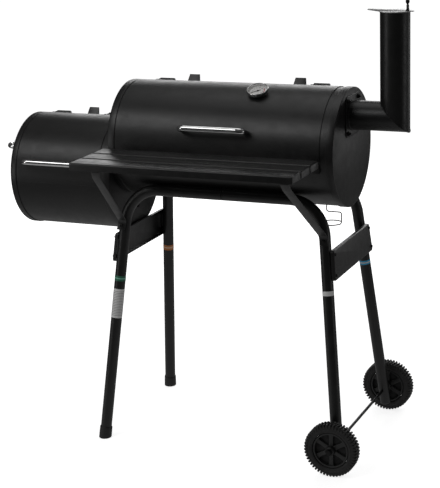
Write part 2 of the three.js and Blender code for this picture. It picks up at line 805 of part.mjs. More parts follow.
// One leg: up from the ground, round a wide bend and in under the barrel to its middle.
function legTube(side, front, bottom, holes) {
  const run = LEG_RUN_HEIGHT;
  const at = (x, z) => new THREE.Vector3(side * x, (front ? -1 : 1) * legY(z), z);
  const corners = [at(legX(bottom), bottom), at(legX(run), run), at(0.5, run)];
  const section = tubeShape(LEG_RADIUS, LEG_RADIUS - LEG_WALL, LEG_SIDES);
  const tube = sweep(section, bentStations(corners, LEG_BEND, 8));
  return holes.length > 0 ? cut(tube, ...holes) : tube;
}

// A cap over a leg's lower end, cut level with the ground.
function footCap(side, front) {
  const outside = LEG_RADIUS + FOOT_CAP_WALL;
  const sleeve = turned([
    [0, -12],
    [outside, -12],
    [outside, FOOT_CAP_HEIGHT],
    [LEG_RADIUS + GAP, FOOT_CAP_HEIGHT],
    [LEG_RADIUS + GAP, FOOT_SEAT],
    [0, FOOT_SEAT],
  ], 16);
  const towards = new THREE.Vector3(-side * LEG_SPLAY, (front ? 1 : -1) * LEG_LEAN, 1).normalize();
  const turn = new THREE.Quaternion().setFromUnitVectors(new THREE.Vector3(0, 0, 1), towards);
  sleeve.applyQuaternion(turn).translate(side * LEG_FOOT_X, (front ? -1 : 1) * LEG_FOOT_Y, 0);
  const ground = box(-600, 600, -600, 600, -60, 0);
  return cut(sleeve, ground);
}

function addLegs() {
  const axleHole = cylinderY(AXLE_RADIUS + GAP, -300, 300, 12, legX(WHEEL_RADIUS), WHEEL_RADIUS);
  for (const [front, word] of [[true, 'front'], [false, 'rear']]) {
    add(`leg_${word}_left`, legTube(-1, front, LEG_BOTTOM, []), blackTube());
    add(`leg_${word}_right`, legTube(1, front, WHEEL_LEG_BOTTOM, [axleHole]), blackTube());
    add(`foot_cap_${word}`, footCap(-1, front), blackPlastic());
  }
}

// A shallow tray across a pair of legs, open towards them.
function sidePanel(side) {
  const outline = (inset) => {
    const low = PANEL_LOW + inset;
    const high = PANEL_HIGH - inset;
    const wide = (z) => legY(z) + PANEL_MARGIN - inset;
    return new THREE.Shape([
      new THREE.Vector2(-wide(low), low),
      new THREE.Vector2(wide(low), low),
      new THREE.Vector2(wide(high), high),
      new THREE.Vector2(-wide(high), high),
    ]);
  };
  const outer = alongX(outline(0), PANEL_OUTSET - PANEL_DEPTH, PANEL_OUTSET);
  const inner = alongX(outline(SHEET), PANEL_OUTSET - PANEL_DEPTH - 5, PANEL_OUTSET - SHEET);
  const lean = new THREE.Matrix4().makeShear(0, 0, 0, 0, -LEG_SPLAY, 0);
  const tray = cut(outer, inner).applyMatrix4(lean).translate(LEG_FOOT_X, 0, 0);
  return side > 0 ? tray : tray.rotateZ(Math.PI);
}

// ---------- wheels ----------

function tyre() {
  const outside = WHEEL_RADIUS / Math.cos(Math.PI / TYRE_FACETS);
  const half = TYRE_WIDTH / 2;
  return turned([
    [TYRE_INSIDE, -half + 4],
    [TYRE_INSIDE + 5, -half],
    [outside - 7, -half],
    [outside, -half + 5],
    [outside, half - 5],
    [outside - 7, half],
    [TYRE_INSIDE + 5, half],
    [TYRE_INSIDE, half - 4],
    [TYRE_INSIDE, -half + 4],
  ], TYRE_FACETS).rotateZ(Math.PI / TYRE_FACETS);
}

// A rim band and a hub joined by a closed web with raised ribs on both faces.
function wheelRim() {
  const seat = TYRE_INSIDE * Math.cos(Math.PI / TYRE_FACETS) - 0.4;
  const band = turned([
    [seat - RIM_WALL, -RIM_HALF_WIDTH],
    [seat, -RIM_HALF_WIDTH],
    [seat, RIM_HALF_WIDTH],
    [seat - RIM_WALL, RIM_HALF_WIDTH],
    [seat - RIM_WALL, -RIM_HALF_WIDTH],
  ], TYRE_FACETS);
  const web = turned([
    [HUB_RADIUS - 3, -RIM_WEB / 2],
    [seat - 2, -RIM_WEB / 2],
    [seat - 2, RIM_WEB / 2],
    [HUB_RADIUS - 3, RIM_WEB / 2],
    [HUB_RADIUS - 3, -RIM_WEB / 2],
  ], TYRE_FACETS);
  const hub = turned([
    [AXLE_RADIUS + GAP, -HUB_HALF_WIDTH],
    [HUB_RADIUS, -HUB_HALF_WIDTH],
    [HUB_RADIUS, HUB_HALF_WIDTH],
    [AXLE_RADIUS + GAP, HUB_HALF_WIDTH],
    [AXLE_RADIUS + GAP, -HUB_HALF_WIDTH],
  ], 12);
  const ribs = Array.from({ length: RIBS }, (_, i) => (
    box(HUB_RADIUS - 3, seat - 3, -RIB_HALF_WIDTH, RIB_HALF_WIDTH, -RIB_HALF_DEPTH, RIB_HALF_DEPTH)
      .rotateZ((i * 2 * Math.PI) / RIBS)
  ));
  return join(band, hub, web, ...ribs);
}

function addWheels() {
  const x = legX(WHEEL_RADIUS);
  for (const [side, word] of [[-1, 'front'], [1, 'rear']]) {
    const place = new THREE.Group();
    place.position.set(x, side * WHEEL_Y, WHEEL_RADIUS);
    place.rotation.x = Math.PI / 2;
    smoker.add(place);
    add(`tyre_${word}`, tyre(), tyreRubber(), place);
    add(`wheel_rim_${word}`, wheelRim(), blackPlastic(), place);
  }
  const hubIn = WHEEL_Y - HUB_HALF_WIDTH - GAP;
  const hubOut = WHEEL_Y + HUB_HALF_WIDTH + GAP;
  const half = [
    [AXLE_RADIUS, hubIn - AXLE_WASHER.thickness],
    [AXLE_WASHER.radius, hubIn - AXLE_WASHER.thickness],
    [AXLE_WASHER.radius, hubIn],
    [AXLE_RADIUS, hubIn],
    [AXLE_RADIUS, hubOut],
    [AXLE_NUT.radius, hubOut],
    [AXLE_NUT.radius, hubOut + AXLE_NUT.flat],
    [AXLE_NUT.end, hubOut + AXLE_NUT.height],
    [0, hubOut + AXLE_NUT.height],
  ];
  const mirrored = half.map(([radius, height]) => [radius, -height]).reverse();
  add('axle', turned([...mirrored, ...half], 12)
    .rotateX(Math.PI / 2)
    .translate(x, 0, WHEEL_RADIUS), blackSteel());
}

// ---------- shelf ----------

// A slat pressed from sheet: a flat top with rounded long edges, skirts and closed ends.
function slat(y0) {
  const y1 = y0 + SLAT_WIDTH;
  const low = SHELF_TOP - SLAT_DEPTH;
  const rounding = [0, 30, 60, 90].map(radians);
  const profile = new THREE.Shape([
    new THREE.Vector2(y0, low),
    ...rounding.map((a) => new THREE.Vector2(
      y0 + SLAT_ROUND * (1 - Math.cos(a)),
      SHELF_TOP - SLAT_ROUND * (1 - Math.sin(a)),
    )),
    ...rounding.slice().reverse().map((a) => new THREE.Vector2(
      y1 - SLAT_ROUND * (1 - Math.cos(a)),
      SHELF_TOP - SLAT_ROUND * (1 - Math.sin(a)),
    )),
    new THREE.Vector2(y1, low),
  ]);
  const inside = box(
    SHELF_X0 + SLAT_SHEET,
    SHELF_X1 - SLAT_SHEET,
    y0 + SLAT_SHEET + 0.5,
    y1 - SLAT_SHEET - 0.5,
    low - 10,
    SHELF_TOP - SLAT_SHEET - 1.5,
  );
  return cut(alongX(profile, SHELF_X0, SHELF_X1), inside);
}

// A strip outline of constant thickness through the given (y, z) points.
function strip(points, thickness) {
  const sides = points.map((point, i) => {
    const before = points[Math.max(i - 1, 0)];
    const after = points[Math.min(i + 1, points.length - 1)];
    const incoming = point.clone().sub(before).normalize();
    const outgoing = after.clone().sub(point).normalize();
    const along = incoming.clone().add(outgoing).normalize();
    const normal = new THREE.Vector2(-along.y, along.x);
    const squareness = Math.max(Math.sqrt((1 + incoming.dot(outgoing)) / 2), 0.5);
    const offset = i > 0 && i < points.length - 1 ? thickness / 2 / squareness : thickness / 2;
    return [point.clone().addScaledVector(normal, offset), point.clone().addScaledVector(normal, -offset)];
  });
  return new THREE.Shape([...sides.map((s) => s[0]), ...sides.map((s) => s[1]).reverse()]);
}

// A brace: an arm under the slats to the barrel, and a diagonal down to the front leg.
function brace({ shelfX, legX: legSideX }) {
  const arm = SHELF_TOP - SLAT_DEPTH - GAP - BRACE_SHEET / 2;
  const legFace = (z) => -legY(z) - LEG_RADIUS - BRACE_SHEET / 2 - 1;
  const low = BRACE_LEG_HEIGHT;
  const armStrip = strip([
    new THREE.Vector2(-DRUM_RADIUS - BRACE_SHEET / 2 + 1, arm - BRACE_TAIL + 2),
    new THREE.Vector2(-DRUM_RADIUS - BRACE_SHEET / 2 - 0.8, arm),
    new THREE.Vector2(SHELF_FRONT + 8, arm),
  ], BRACE_SHEET);
  const diagonal = strip([
    new THREE.Vector2(SHELF_FRONT + 8, arm),
    new THREE.Vector2(legFace(low), low),
    new THREE.Vector2(legFace(low - BRACE_TAIL), low - BRACE_TAIL),
  ], BRACE_SHEET);
  const half = BRACE_WIDTH / 2;
  const slope = (shelfX - legSideX) / (arm - low);
  const slant = new THREE.Matrix4().makeShear(0, 0, 0, 0, slope, 0);
  return join(alongX(armStrip, -half, half), alongX(diagonal, -half, half))
    .translate(0, 0, -arm)
    .applyMatrix4(slant)
    .translate(shelfX, 0, arm);
}

function addShelf() {
  ['front', 'middle', 'rear'].forEach((word, i) => {
    add(`shelf_slat_${word}`, slat(SHELF_FRONT + i * SLAT_PITCH), blackCoat());
  });
  add('shelf_brace_left', brace(BRACE_LEFT), blackCoat());
  add('shelf_brace_right', brace(BRACE_RIGHT), blackCoat());
}

// ---------- grease can hanger ----------

// One wire: down from the barrel, across, down again and round into an open ring.
function greaseCanHanger() {
  const top = BARREL.z - DRUM_RADIUS - 2 * GAP;
  const { x, z, radius, from, to, steps } = HANGER_RING;
  const drop = bentStations([
    new THREE.Vector3(HANGER_X, 0, top),
    new THREE.Vector3(HANGER_X, 0, HANGER_SHOULDER),
    new THREE.Vector3(x + radius, 0, HANGER_SHOULDER),
    new THREE.Vector3(x + radius, 0, z),
    new THREE.Vector3(x + radius, -10, z),
  ], 5, 2).slice(0, -1);
  const circle = Array.from({ length: steps + 1 }, (_, i) => {
    const angle = radians(from + (i * (to - from)) / steps);
    return {
      point: new THREE.Vector3(x + radius * Math.cos(angle), -radius * Math.sin(angle), z),
      direction: new THREE.Vector3(-Math.sin(angle), -Math.cos(angle), 0),
    };
  });
  return sweep(tubeShape(HANGER_WIRE_RADIUS, 0, 6), [...drop, ...circle]);
}

// ---------- assembly ----------

addBarrels();
addLids();
addThermometer();
addFireboxEndHandle();
addGrates();
addChimney();
addStackDamper();
addAirDamper();
addLegs();
add('side_panel_left', sidePanel(-1), blackCoat());
add('side_panel_right', sidePanel(1), blackCoat());
addWheels();
addShelf();
add('grease_can_hanger', greaseCanHanger(), bareSteel());

// The origin is on the ground, under the middle of the whole object.
smoker.updateMatrixWorld(true);
const bounds = new THREE.Box3().setFromObject(smoker, true);
smoker.position.set(
  -(bounds.min.x + bounds.max.x) / 2,
  -(bounds.min.y + bounds.max.y) / 2,
  0,
);

export default smoker;
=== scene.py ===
"""Offset smoker: the detailed look of each piece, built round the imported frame.

Metres. Most places are given in the cooking barrel's own frame: x = 0 at mid barrel,
y = 0 on its axis, z = 0 on the ground. at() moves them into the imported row's frame.
Angles round a barrel: 0 is the front, 90 the top, 180 the back.
"""

import math

import bmesh
import bpy
from mathutils import Matrix, Quaternion, Vector
from mathutils.geometry import tessellate_polygon


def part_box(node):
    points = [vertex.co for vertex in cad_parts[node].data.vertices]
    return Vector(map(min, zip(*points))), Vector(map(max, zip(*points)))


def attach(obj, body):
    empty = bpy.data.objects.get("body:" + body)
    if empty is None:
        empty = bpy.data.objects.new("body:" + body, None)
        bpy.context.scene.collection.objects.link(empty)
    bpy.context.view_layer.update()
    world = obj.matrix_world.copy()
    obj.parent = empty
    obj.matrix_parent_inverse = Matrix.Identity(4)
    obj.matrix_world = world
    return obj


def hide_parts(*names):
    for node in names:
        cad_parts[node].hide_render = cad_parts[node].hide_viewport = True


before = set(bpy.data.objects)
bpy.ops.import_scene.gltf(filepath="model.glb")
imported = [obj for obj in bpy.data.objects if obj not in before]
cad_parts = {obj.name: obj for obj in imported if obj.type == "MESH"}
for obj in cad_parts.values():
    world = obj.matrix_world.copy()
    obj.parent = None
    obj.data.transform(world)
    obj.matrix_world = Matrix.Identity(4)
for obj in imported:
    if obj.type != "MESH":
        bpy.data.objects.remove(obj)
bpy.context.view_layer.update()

# ---------- driving dimensions ----------

barrel_low, barrel_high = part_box("main_barrel")
firebox_low, firebox_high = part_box("firebox_barrel")
MID_X = (barrel_low.x + barrel_high.x) / 2
AXIS_Y = (barrel_low.y + barrel_high.y) / 2
RADIUS = (barrel_high.z - barrel_low.z) / 2
BARREL = {
    "x0": barrel_low.x - MID_X, "x1": barrel_high.x - MID_X, "z": (barrel_low.z + barrel_high.z) / 2,
    "rim_left": 0.021, "rim_right": 0.036,
}
FIREBOX = {
    "x0": firebox_low.x - MID_X, "x1": firebox_high.x - MID_X, "z": (firebox_low.z + firebox_high.z) / 2,
    "rim_left": 0.018, "rim_right": 0.036,
}

SHEET = 0.0016
GAP = 0.0003
SHARP_FROM, BEVEL_FROM = 38.0, 50.0      # degrees between two faces
LID_FROM, LID_TO = -3.0, 108.0
LID_LAP = 0.006
WINDOW_FROM, WINDOW_TO = 0.5, 105.5
LID_INSIDE = RADIUS + 0.0005
LID_OUTSIDE = LID_INSIDE + SHEET
CAP_FACE = GAP + SHEET           # from a barrel's end to its cap's outer face
CAP_LIP = 0.0185
LID_SEAM = 0.0025
SMOKE_HOLE_RADIUS = 0.060
SMOKE_HOLE_Z = (BARREL["z"] + FIREBOX["z"]) / 2
AIR_HOLE_RADIUS = 0.024
AIR_HOLE_Z = FIREBOX["z"] - 0.078
AIR_DAMPER_RADIUS, AIR_DAMPER_PIVOT = 0.030, 0.040
JOINT_BOLT_Y, JOINT_BOLT_Z = 0.060, 0.050

HINGE_ANGLE = 109.6
HINGE_AXIS_RADIUS = RADIUS + 0.0057
HINGE_WIDTH = 0.045
HINGE_LEAF = 0.0015
KNUCKLE_RADIUS = 0.0046
PIN_RADIUS = 0.0025
MAIN_HINGE_SPACING = 0.235
FIREBOX_HINGE_SPACING = 0.087
STOP_ANGLE = 116.5
STOP_SETBACK = 0.62              # degrees the tab stands behind the open lid
STOP_WIDTH, STOP_TOP_WIDTH = 0.039, 0.031
MAIN_STOP_SPACING = 0.162

HANDLE_RADIUS = 0.008
HANDLE_LENGTH = 0.187
HANDLE_REACH = 0.038
HANDLE_BEND = 0.018
MAIN_HANDLE_ANGLE = 20.0
FIREBOX_HANDLE_ANGLE = 16.5
END_HANDLE_RISE = 0.079
END_HANDLE_REACH = 0.044

THERMOMETER_X = 0.088
THERMOMETER_ANGLE = 66.0
THERMOMETER_RADIUS = 0.030
THERMOMETER_BASE = LID_OUTSIDE + 0.0005
NEEDLE_COLD_ANGLE = 125.0
DIAL_DIVISIONS, DIAL_NUMBER_EVERY = 40, 5
NUMBER_SIZE, NUMBER_RADIUS = 0.0036, 0.0153

FLUE_RADIUS = 0.040
FLUE_BORE = 0.0384
FLUE_Z = BARREL["z"] + 0.089
STACK_X = 0.4535
STACK_TOP = 1.2216
FLANGE_SIZE = 0.112
FLANGE_BOLT = 0.044
DAMPER_RADIUS = 0.043
DAMPER_PIVOT = 0.034
TAB_LIFT = 0.004

LEG_RADIUS = 0.015875
LEG_FOOT_X, LEG_FOOT_Y = 0.3595, 0.223
LEG_SPLAY, LEG_LEAN = 0.0945, 0.1307
LEG_RUN_HEIGHT = 0.728
LEG_BEND = 0.104
LEFT_LEG_BOTTOM, RIGHT_LEG_BOTTOM = 0.008, 0.033
LEG_BOLTS_X = (-0.150, -0.030, 0.030, 0.150)
LABEL_SINK, LABEL_LIFT, STRIPE_LIFT = 0.0002, 0.0004, 0.0006

WHEEL_RADIUS = 0.075
WHEEL_Y = 0.257
TYRE_INSIDE = 0.051
HUB_HALF = 0.023
AXLE_RADIUS = 0.004

PANEL_LOW, PANEL_HIGH = 0.519, 0.600
PANEL_OUTSET, PANEL_DEPTH, PANEL_MARGIN = 0.0265, 0.010, 0.009
PANEL_BOLT_HEIGHTS = (0.530, 0.586)

SHELF_TOP = 0.857
SHELF_X0, SHELF_X1, SHELF_FRONT = -0.326, 0.308, -0.400
SLAT_WIDTH, SLAT_PITCH, SLAT_DEPTH = 0.063, 0.0665, 0.020
BRACE_WIDTH, BRACE_SHEET, BRACE_LOW = 0.024, 0.0025, 0.640
BRACES_X = {"left": (-0.253, -0.300), "right": (0.282, 0.301)}   # under the shelf, beside the leg

GRATE_HEIGHT = BARREL["z"] - 0.020
CHARCOAL_HEIGHT = FIREBOX["z"] - 0.062

FLOOR_GLOW = 0.80
BOUNCE_NEAR, BOUNCE_FAR = 0.34, 0.02
WORLD_FILL = 0.06
CAMERA_PLACE = (1.58103, -3.72795, 1.6678)
CAMERA_ANGLES = (23.9, 15.36, -1.96)     # yaw, pitch, roll
CAMERA_LENS = 108.24


def at(x, y, z):
    """A place in the barrel's frame, as a place in the row's frame."""
    return Vector((MID_X + x, AXIS_Y + y, z))


def cosine(degrees):
    return math.cos(math.radians(degrees))


def sine(degrees):
    return math.sin(math.radians(degrees))


def round_drum(radius, angle, x, drum_z):
    return at(x, -radius * cosine(angle), drum_z + radius * sine(angle))


def outward(angle):
    """The direction straight out of a barrel at an angle round it."""
    return Vector((0, -cosine(angle), sine(angle)))


def lid_span(drum):
    return drum["x0"] + drum["rim_left"], drum["x1"] - drum["rim_right"]


def lid_middle(drum):
    return sum(lid_span(drum)) / 2


# ---------- shapes: each is (vertices, faces) ----------

def merge(*shapes):
    vertices, faces = [], []
    for more_vertices, more_faces in shapes:
        first = len(vertices)
        vertices.extend(more_vertices)
        faces.extend([i + first for i in face] for face in more_faces)
    return vertices, faces


def moved(shape, matrix):
    return [matrix @ Vector(v) for v in shape[0]], shape[1]


def placed(shape, origin, direction, spin=0.0):
    """Turns a shape's +Z to a direction and puts its origin at a place."""
    turn = Vector(direction).to_track_quat("Z", "Y").to_matrix().to_4x4()
    return moved(shape, Matrix.Translation(origin) @ turn @ Matrix.Rotation(spin, 4, "Z"))


def loft(loops, ring=False, caps=True):
    """A skin through loops that all have the same number of points."""
    count = len(loops[0])
    vertices = [Vector(p) for loop in loops for p in loop]
    faces = []
    spans = len(loops) if ring else len(loops) - 1
    for row in range(spans):
        low, high = row * count, ((row + 1) % len(loops)) * count
        for i in range(count):
            j = (i + 1) % count
            faces.append([low + i, low + j, high + j, high + i])
    if caps and not ring:
        faces.append(list(range(count))[::-1])
        faces.append([(len(loops) - 1) * count + i for i in range(count)])
    return vertices, faces


def lathe(profile, steps=64, ring=False):
    """A profile of (radius, height) turned about Z. A radius of 0 makes a pole."""
    vertices, rows, faces = [], [], []
    for radius, height in profile:
        first = len(vertices)
        if radius < 1e-7:
            vertices.append(Vector((0, 0, height)))
            rows.append([first])
            continue
        for k in range(steps):
            turn = 2 * math.pi * k / steps
            vertices.append(Vector((radius * math.cos(turn), radius * math.sin(turn), height)))
        rows.append(list(range(first, first + steps)))
    pairs = list(zip(rows, rows[1:]))
    if ring:
        pairs.append((rows[-1], rows[0]))
    for low, high in pairs:
        for i in range(steps):
            j = (i + 1) % steps
            corners = [low[i % len(low)], low[j % len(low)], high[j % len(high)], high[i % len(high)]]
            face = list(dict.fromkeys(corners))
            if len(face) > 2:
                faces.append(face)
    return vertices, faces


def softened(points, radius, steps=4, closed=False):
    """The points with each corner rounded off, in 2-D or 3-D."""
    points = [Vector(p) for p in points]
    count = len(points)
    made = []
    for i, corner in enumerate(points):
        if not closed and i in (0, count - 1):
            made.append(corner)
            continue
        before, after = points[i - 1], points[(i + 1) % count]
        back, ahead = before - corner, after - corner
        reach = min(radius, back.length * 0.45, ahead.length * 0.45)
        start, end = corner + back.normalized() * reach, corner + ahead.normalized() * reach
        for k in range(steps + 1):
            t = k / steps
            made.append(start * (1 - t) ** 2 + corner * (2 * t * (1 - t)) + end * t ** 2)
    return made


def bent(corners, radius, steps=10):
    """A path through corners, each turned with a true bend radius."""
    path = [Vector(corners[0])]
    for before, corner, after in zip(corners, corners[1:], corners[2:]):
        corner = Vector(corner)
        incoming = (corner - Vector(before)).normalized()
        outgoing = (Vector(after) - corner).normalized()
        turn = incoming.angle(outgoing)
        axis = incoming.cross(outgoing).normalized()
        start = corner - incoming * radius * math.tan(turn / 2)
        centre = start + axis.cross(incoming) * radius
        for k in range(steps + 1):
            path.append(centre + Quaternion(axis, turn * k / steps) @ (start - centre))
    path.append(Vector(corners[-1]))
    return path


def tangents(path, closed=False):
    count = len(path)
    made = []
    for i in range(count):
        before = path[i - 1] if closed or i > 0 else path[i]
        after = path[(i + 1) % count] if closed or i < count - 1 else path[i]
        made.append((after - before).normalized())
    return made


def tube(path, radius, sides=24, closed=False, end_round=0.0):
    """A round bar along a path, with its ends eased by end_round."""
    directions = tangents(path, closed)
    normal = directions[0].orthogonal().normalized()
    loops = []
    for point, direction in zip(path, directions):
        normal = (normal - direction * normal.dot(direction)).normalized()
        side = direction.cross(normal)
        loops.append([
            point + (normal * math.cos(a) + side * math.sin(a)) * radius
            for a in (2 * math.pi * k / sides for k in range(sides))
        ])
    if end_round > 0 and not closed:
        for loop, point, sign in ((loops[0], path[0], 1), (loops[-1], path[-1], -1)):
            direction = (directions[0] if sign > 0 else directions[-1]) * sign
            eased = [point + (p - point) * (1 - end_round / radius) for p in loop]
            pushed = [p + direction * end_round for p in loop]
            if sign > 0:
                loops[0:1] = [eased, pushed]
            else:
                loops[-1:] = [pushed, eased]
    return loft(loops, ring=closed)


def ribbon(path, side, width, thickness, edge=0.0005):
    """A flat bar along a path, its width along one fixed direction."""
    half, deep = width / 2, thickness / 2
    section = softened(rectangle(half, deep), edge, 2, closed=True)
    side = Vector(side).normalized()
    loops = []
    for point, direction in zip(path, tangents(path)):
        normal = side.cross(direction).normalized()
        loops.append([point + side * p.x + normal * p.y for p in section])
    return loft(loops)


def outline_of(corners, radius, steps=4):
    """A function of inset that gives a convex outline, counter-clockwise, with rounded corners."""
    corners = [Vector(c) for c in corners]
    count = len(corners)

    def loop(inset):
        shifted = []
        for i, corner in enumerate(corners):
            before, after = corners[i - 1], corners[(i + 1) % count]
            first, second = (corner - before).normalized(), (after - corner).normalized()
            inward_a, inward_b = Vector((-first.y, first.x)), Vector((-second.y, second.x))
            shifted.append(corner + (inward_a + inward_b) * inset / (1 + inward_a.dot(inward_b)))
        return softened(shifted, max(radius - inset * 0.6, 0.0004), steps, closed=True)

    return loop


def circle_of(x, y, radius, count=48):
    """A function of inset that gives a circle, counter-clockwise."""
    def loop(inset):
        return [
            Vector((x + (radius - inset) * math.cos(a), y + (radius - inset) * math.sin(a)))
            for a in (2 * math.pi * k / count for k in range(count))
        ]

    return loop


def edge_steps(thickness, edge, steps=3):
    """(inset, depth) pairs down the rounded side of a plate whose top is at depth 0."""
    rounding = [
        (edge * (1 - sine(90.0 * k / steps)), edge * (1 - cosine(90.0 * k / steps)))
        for k in range(steps + 1)
    ]
    return rounding + [(inset, thickness - depth) for inset, depth in reversed(rounding)]


def plate(outline, holes, thickness, edge):
    """A flat plate under z = 0 with rounded edges. outline and holes are functions of inset."""
    steps = edge_steps(thickness, edge)
    parts, tops, bottoms = [], [], []
    for shape, sign in [(outline, 1)] + [(hole, -1) for hole in holes]:
        loops = [[Vector((p.x, p.y, -depth)) for p in shape(sign * inset)] for inset, depth in steps]
        parts.append(loft(loops, caps=False))
        tops.append(loops[0])
        bottoms.append(loops[-1])
    for group in (tops, bottoms):
        flat = [p for loop in group for p in loop]
        parts.append((flat, [list(t) for t in tessellate_polygon(group)]))
    return merge(*parts)


def tray(outline, depth, rounding, sheet):
    """A pressed tray: its outer face at z = 0, its open lip at z = -depth."""
    arc = [90.0 * k / 5 for k in range(6)]
    outer = [(0.0, -depth)] + [
        (rounding * (1 - cosine(a)), -rounding * (1 - sine(a))) for a in arc
    ]
    inner_round = rounding - sheet
    inner = [
        (sheet + inner_round * (1 - cosine(a)), -sheet - inner_round * (1 - sine(a))) for a in reversed(arc)
    ] + [(sheet, -depth)]
    return loft([[Vector((p.x, p.y, z)) for p in outline(inset)] for inset, z in inner + outer])


def grid_solid(us, vs, keep, point, wrap=False):
    """A sheet made of the kept cells of a grid. point(u, v, w) is its outer face at w = 0, inner at 1."""
    columns = len(us) if wrap else len(us) - 1
    rows = len(vs) - 1
    vertices, index, faces = [], {}, []

    def corner(i, j, w):
        key = (i % len(us) if wrap else i, j, w)
        if key not in index:
            index[key] = len(vertices)
            vertices.append(point(us[key[0]], vs[j], w))
        return index[key]

    def kept(i, j):
        if wrap:
            i %= columns
        elif not 0 <= i < columns:
            return False
        return 0 <= j < rows and keep(i, j)

    for i in range(columns):
        for j in range(rows):
            if not kept(i, j):
                continue
            square = [(i, j), (i + 1, j), (i + 1, j + 1), (i, j + 1)]
            faces.append([corner(a, b, 0) for a, b in square])
            faces.append([corner(a, b, 1) for a, b in reversed(square)])
            for (di, dj), (first, second) in (
                ((0, -1), (0, 1)), ((1, 0), (1, 2)), ((0, 1), (2, 3)), ((-1, 0), (3, 0)),
            ):
                if kept(i + di, j + dj):
                    continue
                (a, b), (c, d) = square[first], square[second]
                faces.append([corner(a, b, 0), corner(a, b, 1), corner(c, d, 1), corner(c, d, 0)])
    return vertices, faces


def spaced(start, end, step):
    count = max(1, round(abs(end - start) / step))
    return [start + (end - start) * k / count for k in range(count + 1)]


def drum_sheet(x0, x1, inside, thickness, start, end, drum_z):
    """A sheet wrapped round a barrel."""
    angles, stations = spaced(start, end, 2.5), spaced(x0, x1, 0.05)
    return grid_solid(
        angles, stations, lambda i, j: True,
        lambda a, x, w: round_drum(inside + thickness * (1 - w), a, x, drum_z),
    )


def facing(side):
    """Stands a flat shape up, its +Z turned to +X (side 1) or -X (side -1)."""
    return Matrix(((0, 0, side, 0), (side, 0, 0, 0), (0, 1, 0, 0), (0, 0, 0, 1)))


def rectangle(half_width, half_height):
    return [
        (-half_width, -half_height), (half_width, -half_height),
        (half_width, half_height), (-half_width, half_height),
    ]


# ---------- fasteners ----------

def dome(radius, height):
    """A domed rivet or screw head standing on z = 0."""
    arc = [(radius * cosine(a), height * sine(a)) for a in (0, 18, 36, 54, 72)]
    return lathe([(0, -0.0008), (radius, -0.0008)] + arc + [(0, height)], 20)


def washer(radius, bore, thickness):
    edge = thickness * 0.3
    profile = [
        (bore, 0), (radius - edge, 0), (radius, edge), (radius, thickness - edge),
        (radius - edge, thickness), (bore, thickness),
    ]
    return lathe(profile, 28, ring=True)


def hexagon(across, low, high):
    """A hexagonal head with chamfered corners, on z = low."""
    def loop(radius, z, blend):
        made = []
        for k in range(24):
            turn = 2 * math.pi * k / 24
            flat = across / 2 / math.cos((turn + math.pi / 6) % (math.pi / 3) - math.pi / 6)
            reach = min(flat, radius) * (1 - blend) + radius * blend
            made.append(Vector((reach * math.cos(turn), reach * math.sin(turn), z)))
        return made

    far = across * 0.6
    deep = high - low
    return loft([
        loop(far, low, 0), loop(far, high - deep * 0.22, 0),
        loop(across * 0.5, high - deep * 0.04, 0), loop(across * 0.44, high, 1),
    ])


def bolt(across=0.010, height=0.004):
    """A hex head on a washer."""
    return merge(washer(across * 0.72, across * 0.2, 0.0012), hexagon(across, 0.0011, height + 0.0011))


def nut(across=0.010, height=0.005):
    """A nut on a washer, with the end of its screw standing out of it."""
    screw = across * 0.29
    end = height + 0.0032
    return merge(
        washer(across * 0.72, across * 0.2, 0.0012),
        hexagon(across, 0.0011, height),
        lathe([
            (0, height - 0.001), (screw, height - 0.001), (screw, end - 0.0006),
            (screw * 0.8, end), (0, end),
        ], 20),
    )


# ---------- materials ----------

